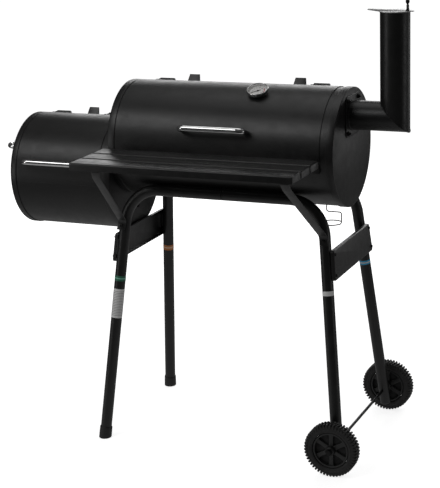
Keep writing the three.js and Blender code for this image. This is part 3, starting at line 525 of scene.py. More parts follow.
class Finish:
    """A procedural material on one Principled shader, with helpers to wire its nodes."""

    def __init__(self, name, roughness=0.5, metallic=0.0, **sockets):
        self.material = bpy.data.materials.new(name)
        self.material.use_nodes = True
        self.tree = self.material.node_tree
        self.shader = self.tree.nodes["Principled BSDF"]
        self.shader.inputs["Roughness"].default_value = roughness
        self.shader.inputs["Metallic"].default_value = metallic
        for socket, value in sockets.items():
            self.shader.inputs[socket.replace("_", " ")].default_value = value
        self.place = self.node("ShaderNodeTexCoord").outputs["Object"]

    def node(self, kind, **settings):
        made = self.tree.nodes.new(kind)
        for key, value in settings.items():
            setattr(made, key, value)
        return made

    def link(self, source, target):
        self.tree.links.new(source, target)

    def noise(self, scale, detail=3.0, stretch=(1, 1, 1), rough=0.55):
        mapping = self.node("ShaderNodeMapping")
        mapping.inputs["Scale"].default_value = stretch
        self.link(self.place, mapping.inputs["Vector"])
        made = self.node("ShaderNodeTexNoise")
        made.inputs["Scale"].default_value = scale
        made.inputs["Detail"].default_value = detail
        made.inputs["Roughness"].default_value = rough
        self.link(mapping.outputs["Vector"], made.inputs["Vector"])
        return made.outputs["Fac"]

    def spread(self, source, low, high, start=0.35, end=0.65):
        made = self.node("ShaderNodeMapRange")
        made.inputs["From Min"].default_value = start
        made.inputs["From Max"].default_value = end
        made.inputs["To Min"].default_value = low
        made.inputs["To Max"].default_value = high
        self.link(source, made.inputs["Value"])
        return made.outputs["Result"]

    def product(self, first, second):
        made = self.node("ShaderNodeMath", operation="MULTIPLY")
        self.link(first, made.inputs[0])
        self.link(second, made.inputs[1])
        return made.outputs["Value"]

    def mix(self, factor, first, second):
        made = self.node("ShaderNodeMix", data_type="RGBA")
        self.link(factor, made.inputs["Factor"])
        for value, socket in ((first, made.inputs["A"]), (second, made.inputs["B"])):
            if isinstance(value, tuple):
                socket.default_value = (*value, 1.0)
            else:
                self.link(value, socket)
        return made.outputs["Result"]

    def edges(self, radius, strength):
        """1 on sharp outer edges, 0 on flats, broken up by noise."""
        bevel = self.node("ShaderNodeBevel", samples=4)
        bevel.inputs["Radius"].default_value = radius
        dot = self.node("ShaderNodeVectorMath", operation="DOT_PRODUCT")
        self.link(bevel.outputs["Normal"], dot.inputs[0])
        self.link(self.node("ShaderNodeNewGeometry").outputs["Normal"], dot.inputs[1])
        edge = self.spread(dot.outputs["Value"], strength, 0.0, 0.80, 0.985)
        return self.product(edge, self.spread(self.noise(140.0, 4.0), 0.0, 1.0, 0.38, 0.62))

    def colour(self, source):
        self.link(source, self.shader.inputs["Base Color"])

    def rough(self, source):
        self.link(source, self.shader.inputs["Roughness"])

    def bump(self, source, distance, strength=1.0):
        made = self.node("ShaderNodeBump")
        made.inputs["Strength"].default_value = strength
        made.inputs["Distance"].default_value = distance
        self.link(source, made.inputs["Height"])
        previous = self.shader.inputs["Normal"]
        if previous.is_linked:
            self.link(previous.links[0].from_socket, made.inputs["Normal"])
        self.link(made.outputs["Normal"], previous)


def grey(level, tint=0.0):
    return (level * (1 + tint), level, level * (1 - tint))


def coat(name, level, rough_low, rough_high, grain, wear=0.5):
    """Satin black paint baked on steel: orange peel, slow colour drift, rubbed edges."""
    paint = Finish(name)
    drift = paint.spread(paint.noise(7.0, 5.0), 0.0, 1.0)
    base = paint.mix(drift, grey(level * 0.8), grey(level * 1.25, 0.02))
    worn = paint.edges(0.0014, wear)
    paint.colour(paint.mix(worn, base, grey(0.11)))
    paint.rough(paint.spread(paint.noise(38.0, 6.0), rough_low, rough_high))
    paint.bump(paint.noise(grain, 2.0), 0.00012, 0.55)
    paint.bump(paint.noise(9.0, 2.0), 0.0012, 0.22)
    return paint.material


def plated(name, level, rough_low, rough_high, tint=0.0, stretch=(1, 1, 1), scratch=0.25):
    """Bright or zinc plating with faint rubbing marks."""
    metal = Finish(name, metallic=1.0)
    haze = metal.spread(metal.noise(60.0, 5.0), 0.0, 1.0)
    metal.colour(metal.mix(haze, grey(level * 0.86, tint), grey(level, tint)))
    metal.rough(metal.spread(metal.noise(220.0, 4.0, stretch), rough_low, rough_high))
    metal.bump(metal.noise(700.0, 3.0, stretch), 0.00005, scratch)
    return metal.material


def moulded(name, level, rough_low, rough_high, grain=1500.0, depth=0.00008, tint=0.0):
    """Moulded plastic or rubber with a fine grain and slightly scuffed edges."""
    body = Finish(name)
    drift = body.spread(body.noise(30.0, 5.0), 0.0, 1.0)
    base = body.mix(drift, grey(level * 0.82, tint), grey(level * 1.2, tint))
    body.colour(body.mix(body.edges(0.0010, 0.45), base, grey(level * 3.2)))
    body.rough(body.spread(body.noise(90.0, 4.0), rough_low, rough_high))
    body.bump(body.noise(grain, 2.0), depth, 0.6)
    return body.material


def printed(name, colour, drift=0.06):
    """A printed film or enamel with a slightly uneven face."""
    film = Finish(name)
    uneven = film.spread(film.noise(120.0, 4.0), 0.0, 1.0)
    darker = tuple(c * (1 - drift) for c in colour)
    film.colour(film.mix(uneven, darker, colour))
    film.rough(film.spread(film.noise(300.0, 3.0), 0.38, 0.52))
    film.bump(film.noise(900.0, 2.0), 0.00003, 0.4)
    return film.material


def burnt_steel(name):
    """Steel wire darkened by fire, with brown and grey patches."""
    steel = Finish(name, metallic=0.6)
    patch = steel.spread(steel.noise(45.0, 6.0), 0.0, 1.0)
    steel.colour(steel.mix(patch, (0.045, 0.036, 0.030), (0.12, 0.115, 0.11)))
    steel.rough(steel.spread(steel.noise(160.0, 4.0), 0.45, 0.7))
    steel.bump(steel.noise(900.0, 3.0), 0.0001, 0.6)
    return steel.material


def clear_glass(name):
    """Thin window glass: clear straight on, glossier at the edges, with faint smears."""
    glass = Finish(name, roughness=0.03)
    glass.colour(glass.mix(glass.noise(40.0), (0.010, 0.011, 0.011), (0.016, 0.017, 0.017)))
    glass.rough(glass.spread(glass.noise(90.0, 4.0), 0.02, 0.08))
    glass.bump(glass.noise(25.0, 2.0), 0.0001, 0.2)
    clear = glass.node("ShaderNodeBsdfTransparent")
    share = glass.node("ShaderNodeLayerWeight")
    share.inputs["Blend"].default_value = 0.2
    both = glass.node("ShaderNodeMixShader")
    glass.link(glass.spread(share.outputs["Facing"], 0.02, 0.16, 0.0, 1.0), both.inputs["Fac"])
    glass.link(clear.outputs["BSDF"], both.inputs[1])
    glass.link(glass.shader.outputs["BSDF"], both.inputs[2])
    glass.link(both.outputs["Shader"], glass.tree.nodes["Material Output"].inputs["Surface"])
    return glass.material


def make_finishes():
    return {
        "drum_coat": coat("drum_coat", 0.0075, 0.36, 0.44, 1400.0, 0.5),
        "frame_coat": coat("frame_coat", 0.0085, 0.32, 0.42, 1700.0, 0.6),
        "chrome": plated("chrome", 0.86, 0.04, 0.11),
        "zinc_steel": plated("zinc_steel", 0.42, 0.28, 0.42, 0.01),
        "bare_steel": plated("bare_steel", 0.46, 0.36, 0.52, stretch=(1, 12, 1), scratch=0.5),
        "black_steel": plated("black_steel", 0.028, 0.42, 0.58, scratch=0.4),
        "grate_wire": plated("grate_wire", 0.55, 0.25, 0.4),
        "charcoal_grate_steel": burnt_steel("charcoal_grate_steel"),
        "dial_face": printed("dial_face", (0.95, 0.94, 0.92)),
        "dial_marks": printed("dial_marks", (0.02, 0.018, 0.018)),
        "dial_red": printed("dial_red", (0.55, 0.05, 0.04)),
        "needle_paint": printed("needle_paint", (0.035, 0.022, 0.02)),
        "dial_glass": clear_glass("dial_glass"),
        "foot_plastic": moulded("foot_plastic", 0.012, 0.5, 0.62),
        "tyre_rubber": moulded("tyre_rubber", 0.014, 0.56, 0.72, 1100.0, 0.00012, 0.02),
        "rim_plastic": moulded("rim_plastic", 0.016, 0.40, 0.52),
        # The web's finish is darker than the rim's plastic: painted shade standing in for the shadow in the
        # recessed pockets between the spokes.
        "web_plastic_painted_shade": moulded("web_plastic_painted_shade", 0.005, 0.62, 0.78),
        "dull_wire": plated("dull_wire", 0.14, 0.4, 0.55, 0.01),
        "label_white": printed("label_white", (0.93, 0.93, 0.92)),
        "label_mint": printed("label_mint", (0.25, 0.62, 0.46)),
        "label_peach": printed("label_peach", (0.92, 0.60, 0.40)),
        "label_grey": printed("label_grey", (0.30, 0.30, 0.30)),
        "label_green": printed("label_green", (0.035, 0.17, 0.10)),
        "label_orange": printed("label_orange", (0.62, 0.22, 0.06)),
        "label_blue": printed("label_blue", (0.06, 0.52, 0.90)),
    }


# ---------- pieces ----------

finishes = make_finishes()


def piece(name, shape, finish, body="root", replaces=(), bevel=0.0):
    """Makes one object of the model, riding on its body."""
    mesh = bpy.data.meshes.new(name)
    mesh.from_pydata([tuple(v) for v in shape[0]], [], shape[1])
    work = bmesh.new()
    work.from_mesh(mesh)
    bmesh.ops.remove_doubles(work, verts=work.verts, dist=1e-6)
    bmesh.ops.recalc_face_normals(work, faces=work.faces)
    work.to_mesh(mesh)
    work.free()
    mesh.materials.append(finishes[finish])
    mesh.shade_smooth()
    mesh.set_sharp_from_angle(angle=math.radians(SHARP_FROM))
    made = bpy.data.objects.new(name, mesh)
    bpy.context.scene.collection.objects.link(made)
    if bevel > 0:
        softer = made.modifiers.new("edge", "BEVEL")
        softer.width = bevel
        softer.segments = 2
        softer.limit_method = "ANGLE"
        softer.angle_limit = math.radians(BEVEL_FROM)
        softer.harden_normals = True
    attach(made, body)
    if replaces:
        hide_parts(*replaces)


def part(name, shape, finish, body="root", bevel=0.0):
    """A piece that replaces the CAD node of the same name."""
    piece(name, shape, finish, body, [name], bevel)


# ---------- barrels, caps and lids ----------

def make_barrel(name, drum):
    x0, x1 = lid_span(drum)
    window = (x0 + LID_LAP, x1 - LID_LAP)
    angles = spaced(WINDOW_FROM, WINDOW_TO, 2.5)[:-1] + spaced(WINDOW_TO, WINDOW_FROM + 360, 2.5)[:-1]
    stations = [drum["x0"]] + spaced(*window, 0.05) + [drum["x1"]]

    def keep(i, j):
        inside = window[0] - 1e-6 < stations[j] and stations[j + 1] < window[1] + 1e-6
        return not (inside and WINDOW_FROM - 1e-6 < angles[i] < WINDOW_TO - 1e-6)

    shape = grid_solid(
        angles, stations, keep,
        lambda a, x, w: round_drum(RADIUS - SHEET * w, a, x, drum["z"]), wrap=True,
    )
    part(name, shape, "drum_coat", bevel=0.0005)


def make_cap(name, drum, side, lip, holes):
    """A pressed disc with a lip over the barrel's end and a flange inside it."""
    end = drum["x0"] - CAP_FACE if side < 0 else drum["x1"] + CAP_FACE
    disc = plate(circle_of(0, 0, RADIUS, 144), holes, SHEET, 0.00078)
    flange_radius = RADIUS - SHEET - 0.0007
    flange = lathe([
        (flange_radius - SHEET, -SHEET * 0.9), (flange_radius, -SHEET * 0.9),
        (flange_radius, -SHEET - 0.014), (flange_radius - SHEET, -SHEET - 0.014),
    ], 96, ring=True)
    edge, inside = 0.0005, RADIUS + 0.0001
    skirt = lathe([
        (RADIUS - 0.0014, -SHEET * 0.6), (RADIUS - 0.0010, -0.0001), (LID_OUTSIDE - 2 * edge, 0),
        (LID_OUTSIDE - edge * 0.6, -edge), (LID_OUTSIDE, -2 * edge), (LID_OUTSIDE, edge - lip),
        (LID_OUTSIDE - edge, -lip), (inside, -lip), (inside, -SHEET * 0.9), (RADIUS - 0.0012, -SHEET * 0.8),
    ], 144, ring=True)
    shape = moved(merge(disc, flange, skirt), Matrix.Translation(at(end, 0, drum["z"])) @ facing(side))
    part(name, shape, "drum_coat")


def make_barrels():
    make_barrel("main_barrel", BARREL)
    make_barrel("firebox_barrel", FIREBOX)
    port = SMOKE_HOLE_Z
    caps = (
        ("main_end_cap_left", BARREL, -1, port, SMOKE_HOLE_RADIUS),
        ("main_end_cap_right", BARREL, 1, FLUE_Z, FLUE_BORE),
        ("firebox_end_cap_left", FIREBOX, -1, AIR_HOLE_Z, AIR_HOLE_RADIUS),
        ("firebox_end_cap_right", FIREBOX, 1, port, SMOKE_HOLE_RADIUS),
    )
    for name, drum, side, hole_z, hole_radius in caps:
        lip = CAP_FACE + (drum["rim_left"] - LID_SEAM if side < 0 else CAP_LIP)
        make_cap(name, drum, side, lip, [circle_of(0, hole_z - drum["z"], hole_radius)])
    joint = []
    for y in (-JOINT_BOLT_Y, JOINT_BOLT_Y):
        for z in (port - JOINT_BOLT_Z, port + JOINT_BOLT_Z):
            joint.append(placed(bolt(), at(BARREL["x0"] + 0.0002, y, z), (1, 0, 0)))
            joint.append(placed(nut(), at(FIREBOX["x1"] - 0.0002, y, z), (-1, 0, 0)))
    joint.append(placed(bolt(0.009, 0.0036), at(FIREBOX["x1"] + CAP_FACE, 0.006, 0.644), (1, 0, 0)))
    piece("barrel_joint_bolts", merge(*joint), "black_steel")


def make_lid(prefix, drum):
    x0, x1 = lid_span(drum)
    shape = drum_sheet(x0, x1, LID_INSIDE, SHEET, LID_FROM, LID_TO, drum["z"])
    part(f"{prefix}_lid", shape, "drum_coat", f"{prefix}_lid", bevel=0.0006)


# ---------- hinges and stops ----------

def make_hinge(prefix, side, x, drum):
    half, centre = HINGE_WIDTH / 2, 0.0075
    axis = round_drum(HINGE_AXIS_RADIUS, HINGE_ANGLE, 0, drum["z"])
    place = Vector((MID_X + x, axis.y, axis.z))
    along = Vector((1, 0, 0))

    def knuckle(start, end):
        edge = 0.0005
        profile = [
            (PIN_RADIUS + 0.0002, start), (KNUCKLE_RADIUS - edge, start), (KNUCKLE_RADIUS, start + edge),
            (KNUCKLE_RADIUS, end - edge), (KNUCKLE_RADIUS - edge, end), (PIN_RADIUS + 0.0002, end),
        ]
        return placed(lathe(profile, 32, ring=True), place, along)

    def leaf(inside, start, end):
        return drum_sheet(x - half, x + half, inside, HINGE_LEAF, start, end, drum["z"])

    def rivets(height, angle):
        return [
            placed(dome(0.0036, 0.0017), round_drum(height, angle, x + offset, drum["z"]), outward(angle))
            for offset in (-0.014, 0.014)
        ]

    inside = RADIUS + 0.0005
    fixed = merge(
        leaf(inside, HINGE_ANGLE + 0.5, HINGE_ANGLE + 10),
        knuckle(-half, -centre - 0.0004), knuckle(centre + 0.0004, half),
    )
    part(f"{prefix}_hinge_leaf_{side}", fixed, "frame_coat", bevel=0.0004)
    piece(
        f"{prefix}_hinge_rivets_{side}",
        merge(*rivets(inside + HINGE_LEAF, HINGE_ANGLE + 6.6)), "black_steel",
    )
    lid_inside = LID_OUTSIDE + GAP
    moving = merge(leaf(lid_inside, HINGE_ANGLE - 11, HINGE_ANGLE - 1.9), knuckle(-centre, centre))
    web = drum_sheet(
        x - centre, x + centre, lid_inside, HINGE_LEAF, HINGE_ANGLE - 2.4, HINGE_ANGLE - 0.4, drum["z"],
    )
    body = f"{prefix}_lid"
    node = f"{prefix}_lid_hinge_leaf_{side}"
    part(node, merge(moving, web), "frame_coat", body, bevel=0.0004)
    piece(
        f"{prefix}_lid_hinge_rivets_{side}",
        merge(*rivets(lid_inside + HINGE_LEAF, HINGE_ANGLE - 7.5)), "black_steel", body,
    )
    end = half + 0.0018
    pin = [
        (0, -end), (0.0024, -end + 0.0001), (0.0036, -end + 0.0009), (0.0038, -half - GAP),
        (PIN_RADIUS, -half - GAP), (PIN_RADIUS, half + GAP),
        (0.0038, half + GAP), (0.0036, end - 0.0009), (0.0024, end - 0.0001), (0, end),
    ]
    pin_node = f"{prefix}_hinge_pin_{side}"
    part(pin_node, placed(lathe(pin, 24), place, along), "zinc_steel")


def make_stop(name, x, drum):
    """A riveted foot with an upright tab that the open lid leans on."""
    thickness = 0.002
    foot_height = RADIUS + 0.0005 + thickness / 2
    path = [round_drum(foot_height, STOP_ANGLE + a, 0, drum["z"]) for a in (7, 5, 3, 1.6)]
    out = outward(STOP_ANGLE)
    base = round_drum(foot_height, STOP_ANGLE + STOP_SETBACK, 0, drum["z"])
    path += [base + out * 0.0006, base + out * 0.0022] + [base + out * h for h in (0.008, 0.018, 0.0277)]
    widths = [STOP_WIDTH] * 6 + [STOP_WIDTH - 0.0005, 0.035, STOP_TOP_WIDTH]
    loops = []
    for point, direction, width in zip(path, tangents(path), widths):
        normal = Vector((1, 0, 0)).cross(direction).normalized()
        half, deep = width / 2, thickness / 2
        section = softened(rectangle(half, deep), 0.0005, 2, closed=True)
        loops.append([point + Vector((x + p.x, 0, 0)) + normal * p.y for p in section])
    part(name, loft(loops), "frame_coat")
    rivets = [
        placed(dome(0.0032, 0.0015), round_drum(RADIUS + 0.0025, STOP_ANGLE + 4.2, x + dx, drum["z"]),
               outward(STOP_ANGLE + 4.2))
        for dx in (-0.010, 0.010)
    ]
    piece(f"{name}_rivets", merge(*rivets), "black_steel")


# ---------- handles ----------

def make_handle(name, body, origin, along, out, reach=HANDLE_REACH):
    """A bent chrome bar, screwed from behind."""
    along, out = Vector(along), Vector(out)
    half = HANDLE_LENGTH / 2
    corners = [
        origin - along * half, origin - along * half + out * reach,
        origin + along * half + out * reach, origin + along * half,
    ]
    bar = tube(bent(corners, HANDLE_BEND, 12), HANDLE_RADIUS, 32, end_round=0.0008)
    part(name, bar, "chrome", body)
    inside = SHEET + 0.0006
    screws = [placed(bolt(0.008, 0.003), origin + along * s * half - out * inside, -out) for s in (-1, 1)]
    piece(f"{name}_screws", merge(*screws), "zinc_steel", body)


def make_handles():
    for prefix, drum, angle in (
        ("main", BARREL, MAIN_HANDLE_ANGLE), ("firebox", FIREBOX, FIREBOX_HANDLE_ANGLE),
    ):
        origin = round_drum(LID_OUTSIDE + GAP, angle, lid_middle(drum), drum["z"])
        make_handle(f"{prefix}_lid_handle", f"{prefix}_lid", origin, (1, 0, 0), outward(angle))
    end = at(FIREBOX["x0"] - CAP_FACE - GAP, 0, FIREBOX["z"] + END_HANDLE_RISE)
    make_handle("firebox_end_handle", "root", end, (0, 1, 0), (-1, 0, 0), END_HANDLE_REACH)


# ---------- thermometer ----------

def make_thermometer():
    tilt = Matrix.Rotation(math.radians(90 - THERMOMETER_ANGLE), 4, "X")
    place = Matrix.Translation(at(THERMOMETER_X, 0, BARREL["z"])) @ tilt
    base, radius = THERMOMETER_BASE, THERMOMETER_RADIUS
    floor, rim = base + 0.006, base + 0.015
    inner = radius - 0.003
    body = "main_lid"

    def put(name, shape, finish, rides=body, replaces=()):
        piece(name, moved(shape, place), finish, rides, replaces)

    outside = softened([
        (0.012, base), (0.0125, base + 0.0030), (radius - 0.0022, base + 0.0040),
        (radius, base + 0.0075), (radius, rim - 0.0020), (radius - 0.0008, rim),
        (radius - 0.0022, rim), (inner, rim - 0.0022), (inner, floor),
    ], 0.0012, 4)
    stem = [
        (0, base - 0.046), (0.0030, base - 0.046), (0.004, base - 0.044),
        (0.004, base - 0.0005), (0.012, base - 0.0003),
    ]
    case = stem + outside + [(0, floor)]
    put("thermometer_case", lathe(case, 72), "chrome", replaces=["thermometer_case"])
    disc = plate(circle_of(0, 0, inner - GAP, 64), [], 0.0012, 0.0002)
    face = floor + 0.0015
    put("thermometer_dial", moved(disc, Matrix.Translation((0, 0, face))), "dial_face",
        replaces=["thermometer_dial"])

    def mark(angle, start, end, width, lift=0.00012):
        """A printed stroke standing a hair above the dial."""
        half = width / 2
        loops = [
            [Vector((r, -half, z)), Vector((r, half, z))][::(1 if z > face else -1)]
            for r in (start, end) for z in (face + lift, face - 0.0001)
        ]
        loop_a, loop_b = loops[0] + loops[1], loops[2] + loops[3]
        return moved(loft([loop_a, loop_b]), Matrix.Rotation(math.radians(angle), 4, "Z"))

    sweep_start, sweep_end = 90 + NEEDLE_COLD_ANGLE, 90 - NEEDLE_COLD_ANGLE
    strokes = []
    for k in range(DIAL_DIVISIONS + 1):
        angle = sweep_start + (sweep_end - sweep_start) * k / DIAL_DIVISIONS
        long = k % DIAL_NUMBER_EVERY == 0
        strokes.append(mark(angle, 0.0215 if long else 0.0228, 0.0248, 0.0006 if long else 0.0003))
    put("thermometer_marks", merge(*strokes), "dial_marks")
    bands = [mark(angle, 0.0176, 0.0196, 0.0010) for angle in spaced(sweep_end, sweep_end + 78, 2.4)]
    put("thermometer_red_zone", merge(*bands), "dial_red")

    numbers = []
    for k in range(0, DIAL_DIVISIONS + 1, DIAL_NUMBER_EVERY):
        angle = math.radians(sweep_start + (sweep_end - sweep_start) * k / DIAL_DIVISIONS)
        text = bpy.data.curves.new("number", "FONT")
        text.body = str(k * 10 + 50)
        text.size = NUMBER_SIZE
        text.align_x, text.align_y = "CENTER", "CENTER"
        text.extrude = 0.00006
        holder = bpy.data.objects.new("number", text)
        bpy.context.scene.collection.objects.link(holder)
        bpy.context.view_layer.update()
        mesh = holder.evaluated_get(bpy.context.evaluated_depsgraph_get()).to_mesh()
        across, up = NUMBER_RADIUS * math.cos(angle), NUMBER_RADIUS * math.sin(angle)
        shift = Matrix.Translation((across, up, face + 0.00006))
        digits = [v.co.copy() for v in mesh.vertices], [list(p.vertices) for p in mesh.polygons]
        numbers.append(moved(digits, shift))
        bpy.data.objects.remove(holder)
    put("thermometer_numbers", merge(*numbers), "dial_marks")

    lift = floor + 0.002
    outline = [(-0.0007, -0.008), (0.0007, -0.008), (0.0011, 0.0), (0.0006, 0.012), (0.00025, 0.020),
               (-0.00025, 0.020), (-0.0006, 0.012), (-0.0011, 0.0)]
    blade = loft([[Vector((x, y, lift + z)) for x, y in outline] for z in (0.0, 0.0006)])
    hub = lathe([
        (0, lift - 0.0003), (0.0026, lift - 0.0003), (0.0026, lift + 0.0012), (0.0018, lift + 0.0018),
        (0, lift + 0.0020),
    ], 24)
    turn = Matrix.Rotation(math.radians(NEEDLE_COLD_ANGLE), 4, "Z")
    put("thermometer_needle", merge(moved(blade, turn), hub), "needle_paint", "thermometer_needle",
        ["thermometer_needle"])
    crown = [(inner - GAP, floor + 0.0048), (inner - GAP, floor + 0.0062)]
    crown += [(inner * cosine(a), floor + 0.0062 + 0.0018 * sine(a)) for a in (20, 40, 60, 75)]
    glass = [(0, floor + 0.0048)] + crown + [(0, floor + 0.0080)]
    put("thermometer_glass", lathe(glass, 64), "dial_glass", replaces=["thermometer_glass"])
    backing = LID_INSIDE - 0.0012
    collar = merge(moved(washer(0.009, 0.0043, 0.0010), Matrix.Translation((0, 0, backing - 0.001))),
                   hexagon(0.0135, backing - 0.0062, backing - 0.001))
    put("thermometer_nut", collar, "zinc_steel", replaces=["thermometer_nut"])


# ---------- grates ----------

def make_grate(name, x0, x1, half_width, top, finish, pitch, wire):
    """A welded wire grate: a rod border, thin bars across it and two cross rods below."""
    border = wire * 1.2
    z = top - border
    corners = [at(x0 + border, -half_width, z), at(x1 - border, -half_width, z),
               at(x1 - border, half_width, z), at(x0 + border, half_width, z)]
    inset = [Vector((c.x, c.y - math.copysign(border, c.y - AXIS_Y), c.z)) for c in corners]
    loop = softened(inset, 0.012, 6, closed=True)
    parts = [tube(loop, border, 14, closed=True)]
    reach = half_width - border
    for x in spaced(x0 + border + pitch, x1 - border - pitch, pitch):
        ends = [at(x, -reach, top - wire), at(x, reach, top - wire)]
        parts.append(tube(ends, wire, 10))
    for y in (-half_width * 0.45, half_width * 0.45):
        ends = [at(x0 + border, y, top - wire * 2.9), at(x1 - border, y, top - wire * 2.9)]
        parts.append(tube(ends, wire, 10))
    part(name, merge(*parts), finish)


def make_grates():
    for name, top, finish, pitch in (
        ("cooking_grate_left", GRATE_HEIGHT, "grate_wire", 0.0125),
        ("cooking_grate_right", GRATE_HEIGHT, "grate_wire", 0.0125),
        ("firebox_charcoal_grate", CHARCOAL_HEIGHT, "charcoal_grate_steel", 0.018),
    ):
        low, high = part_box(name)
        make_grate(name, low.x - MID_X, high.x - MID_X, (high.y - low.y) / 2, high.z, finish, pitch,
                   0.0017 if finish == "grate_wire" else 0.0018)


# ---------- chimney ----------

def flue_ring(radius, place, mitred, upright, count=72):
    """A ring of a flue: square to its tube, or on the 45 degree mitre plane."""
    made = []
    for k in range(count):
        turn = 2 * math.pi * k / count
        side, up = radius * math.cos(turn), radius * math.sin(turn)
        offset = -up if mitred else 0.0
        made.append(place + Vector((up, side, offset) if upright else (offset, side, up)))
    return made


def flue(start, end, upright):
    """A tube whose start is square and whose end is cut on the mitre."""
    edge = 0.0004
    along = (end - start).normalized()
    loops = [
        flue_ring(FLUE_BORE, start, False, upright), flue_ring(FLUE_RADIUS - edge, start, False, upright),
        flue_ring(FLUE_RADIUS, start + along * edge, False, upright),
        flue_ring(FLUE_RADIUS, start.lerp(end, 0.45), False, upright),
        flue_ring(FLUE_RADIUS, end, True, upright), flue_ring(FLUE_BORE, end, True, upright),
    ]
    return loft(loops, ring=True)


def make_chimney():
    face = BARREL["x1"] + CAP_FACE + GAP
    half = FLANGE_SIZE / 2
    square = outline_of(rectangle(half, half), 0.016, 6)
    thick = 0.0025
    shape = plate(square, [circle_of(0, 0, FLUE_BORE, 72)], thick, 0.0007)
    shape = moved(shape, Matrix.Translation(at(face + thick, 0, FLUE_Z)) @ facing(1))
    part("chimney_flange", shape, "drum_coat")
    weld_x = face + thick + 0.0006
    weld_radius = FLUE_RADIUS + 0.0004
    weld = tube([
        at(weld_x, weld_radius * cosine(a), FLUE_Z + weld_radius * sine(a)) for a in range(0, 360, 4)
    ], 0.0014, 10, closed=True)
    corner = at(STACK_X, 0, FLUE_Z)
    pipe = flue(at(face + thick + GAP, 0, FLUE_Z), corner - Vector((GAP / 2, 0, 0)), False)
    part("chimney_pipe", merge(pipe, weld), "drum_coat")
    stack = flue(at(STACK_X, 0, STACK_TOP), corner + Vector((0, 0, GAP / 2)), True)
    bead = []
    for a in range(0, 360, 4):
        side, up = (FLUE_RADIUS + 0.0002) * cosine(a), (FLUE_RADIUS + 0.0002) * sine(a)
        bead.append(corner + Vector((up, side, -up)))
    seam = tube(bead, 0.0011, 8, closed=True)
    part("chimney_stack", merge(stack, seam), "drum_coat")
    bolts = []
    for y in (-FLANGE_BOLT, FLANGE_BOLT):
        for z in (-FLANGE_BOLT, FLANGE_BOLT):
            bolts.append(placed(nut(0.010, 0.0052), at(face + thick, y, FLUE_Z + z), (1, 0, 0), 0.3))
            inside = at(BARREL["x1"] - 0.0002, y, FLUE_Z + z)
            bolts.append(placed(bolt(0.010, 0.0036), inside, (-1, 0, 0)))
    piece("chimney_bolts", merge(*bolts), "black_steel")


def arc_points(x, y, radius, start, end, step=6.0):
    return [Vector((x + radius * cosine(a), y + radius * sine(a))) for a in spaced(start, end, step)]


def tabbed_outline(points):
    """A function of inset for an outline that isn't convex: each point moves along its own normal."""
    count = len(points)

    def loop(inset):
        made = []
        for i, point in enumerate(points):
            first = (point - points[i - 1]).normalized()
            second = (points[(i + 1) % count] - point).normalized()
            inward = Vector((-first.y, first.x)) + Vector((-second.y, second.x))
            made.append(point + inward.normalized() * inset)
        return made

    return loop


def make_stack_damper():
    r, tab, heel = DAMPER_RADIUS, 0.009, 0.007
    lean_tab = math.degrees(math.asin(tab / r))
    lean_heel = math.degrees(math.asin(heel / r))
    points = softened([(0.049, -heel), (0.051, -heel + 0.002), (0.051, heel - 0.002),
                       (0.049, heel)], 0.002, 3)
    points += arc_points(0, 0, r, lean_heel, 180 - lean_tab)
    points += softened([(-0.045, tab), (-0.074, tab), (-0.074, -tab),
                        (-0.045, -tab)], 0.004, 5)
    points += arc_points(0, 0, r, 180 + lean_tab, 360 - lean_heel)
    thick = 0.002
    top = STACK_TOP + GAP + thick
    shape = plate(tabbed_outline(points), [circle_of(DAMPER_PIVOT, 0, 0.0028, 24)], thick, 0.0004)
    bent_up = [
        Vector((v.x, v.y, v.z + TAB_LIFT * max(0.0, (-0.046 - v.x) / 0.028) ** 1.6)) for v in shape[0]
    ]
    shape = moved((bent_up, shape[1]), Matrix.Translation(at(STACK_X, 0, top)))
    part("stack_damper", shape, "bare_steel", "stack_damper")
    rod = 0.0024
    profile = softened([
        (rod, top - 0.035), (rod, top + 0.0175), (0.0032, top + 0.0185),
        (0.0050, top + 0.0215), (0.0055, top + 0.0250), (0.0048, top + 0.0282),
        (0.0022, top + 0.0297),
    ], 0.0012, 3)
    foot = [(0, top - 0.036), (0.0019, top - 0.036)]
    spindle = lathe(foot + profile + [(0, top + 0.030)], 32)
    collar = moved(washer(0.0052, 0.0026, 0.0010), Matrix.Translation((0, 0, top + 0.0003)))
    lock = hexagon(0.0080, top + 0.0013, top + 0.0050)
    coil = []
    turns, radius, low, high = 5, 0.0036, top + 0.0054, top + 0.0155
    for k in range(turns * 16 + 1):
        turn = 2 * math.pi * k / 16
        rise = (high - low) * k / (turns * 16)
        coil.append(Vector((radius * math.cos(turn), radius * math.sin(turn), low + rise)))
    spring = tube(coil, 0.0006, 8)
    lug = outline_of(rectangle(0.004, 0.011), 0.002, 3)
    bracket_place = Matrix.Translation((0.0024, 0, top - 0.025)) @ facing(1)
    bracket = moved(plate(lug, [], 0.0034, 0.0004), bracket_place)
    pivot = Matrix.Translation(at(STACK_X + DAMPER_PIVOT, 0, 0))
    shape = moved(merge(spindle, collar, lock, spring, bracket), pivot)
    part("stack_damper_spindle", shape, "black_steel")


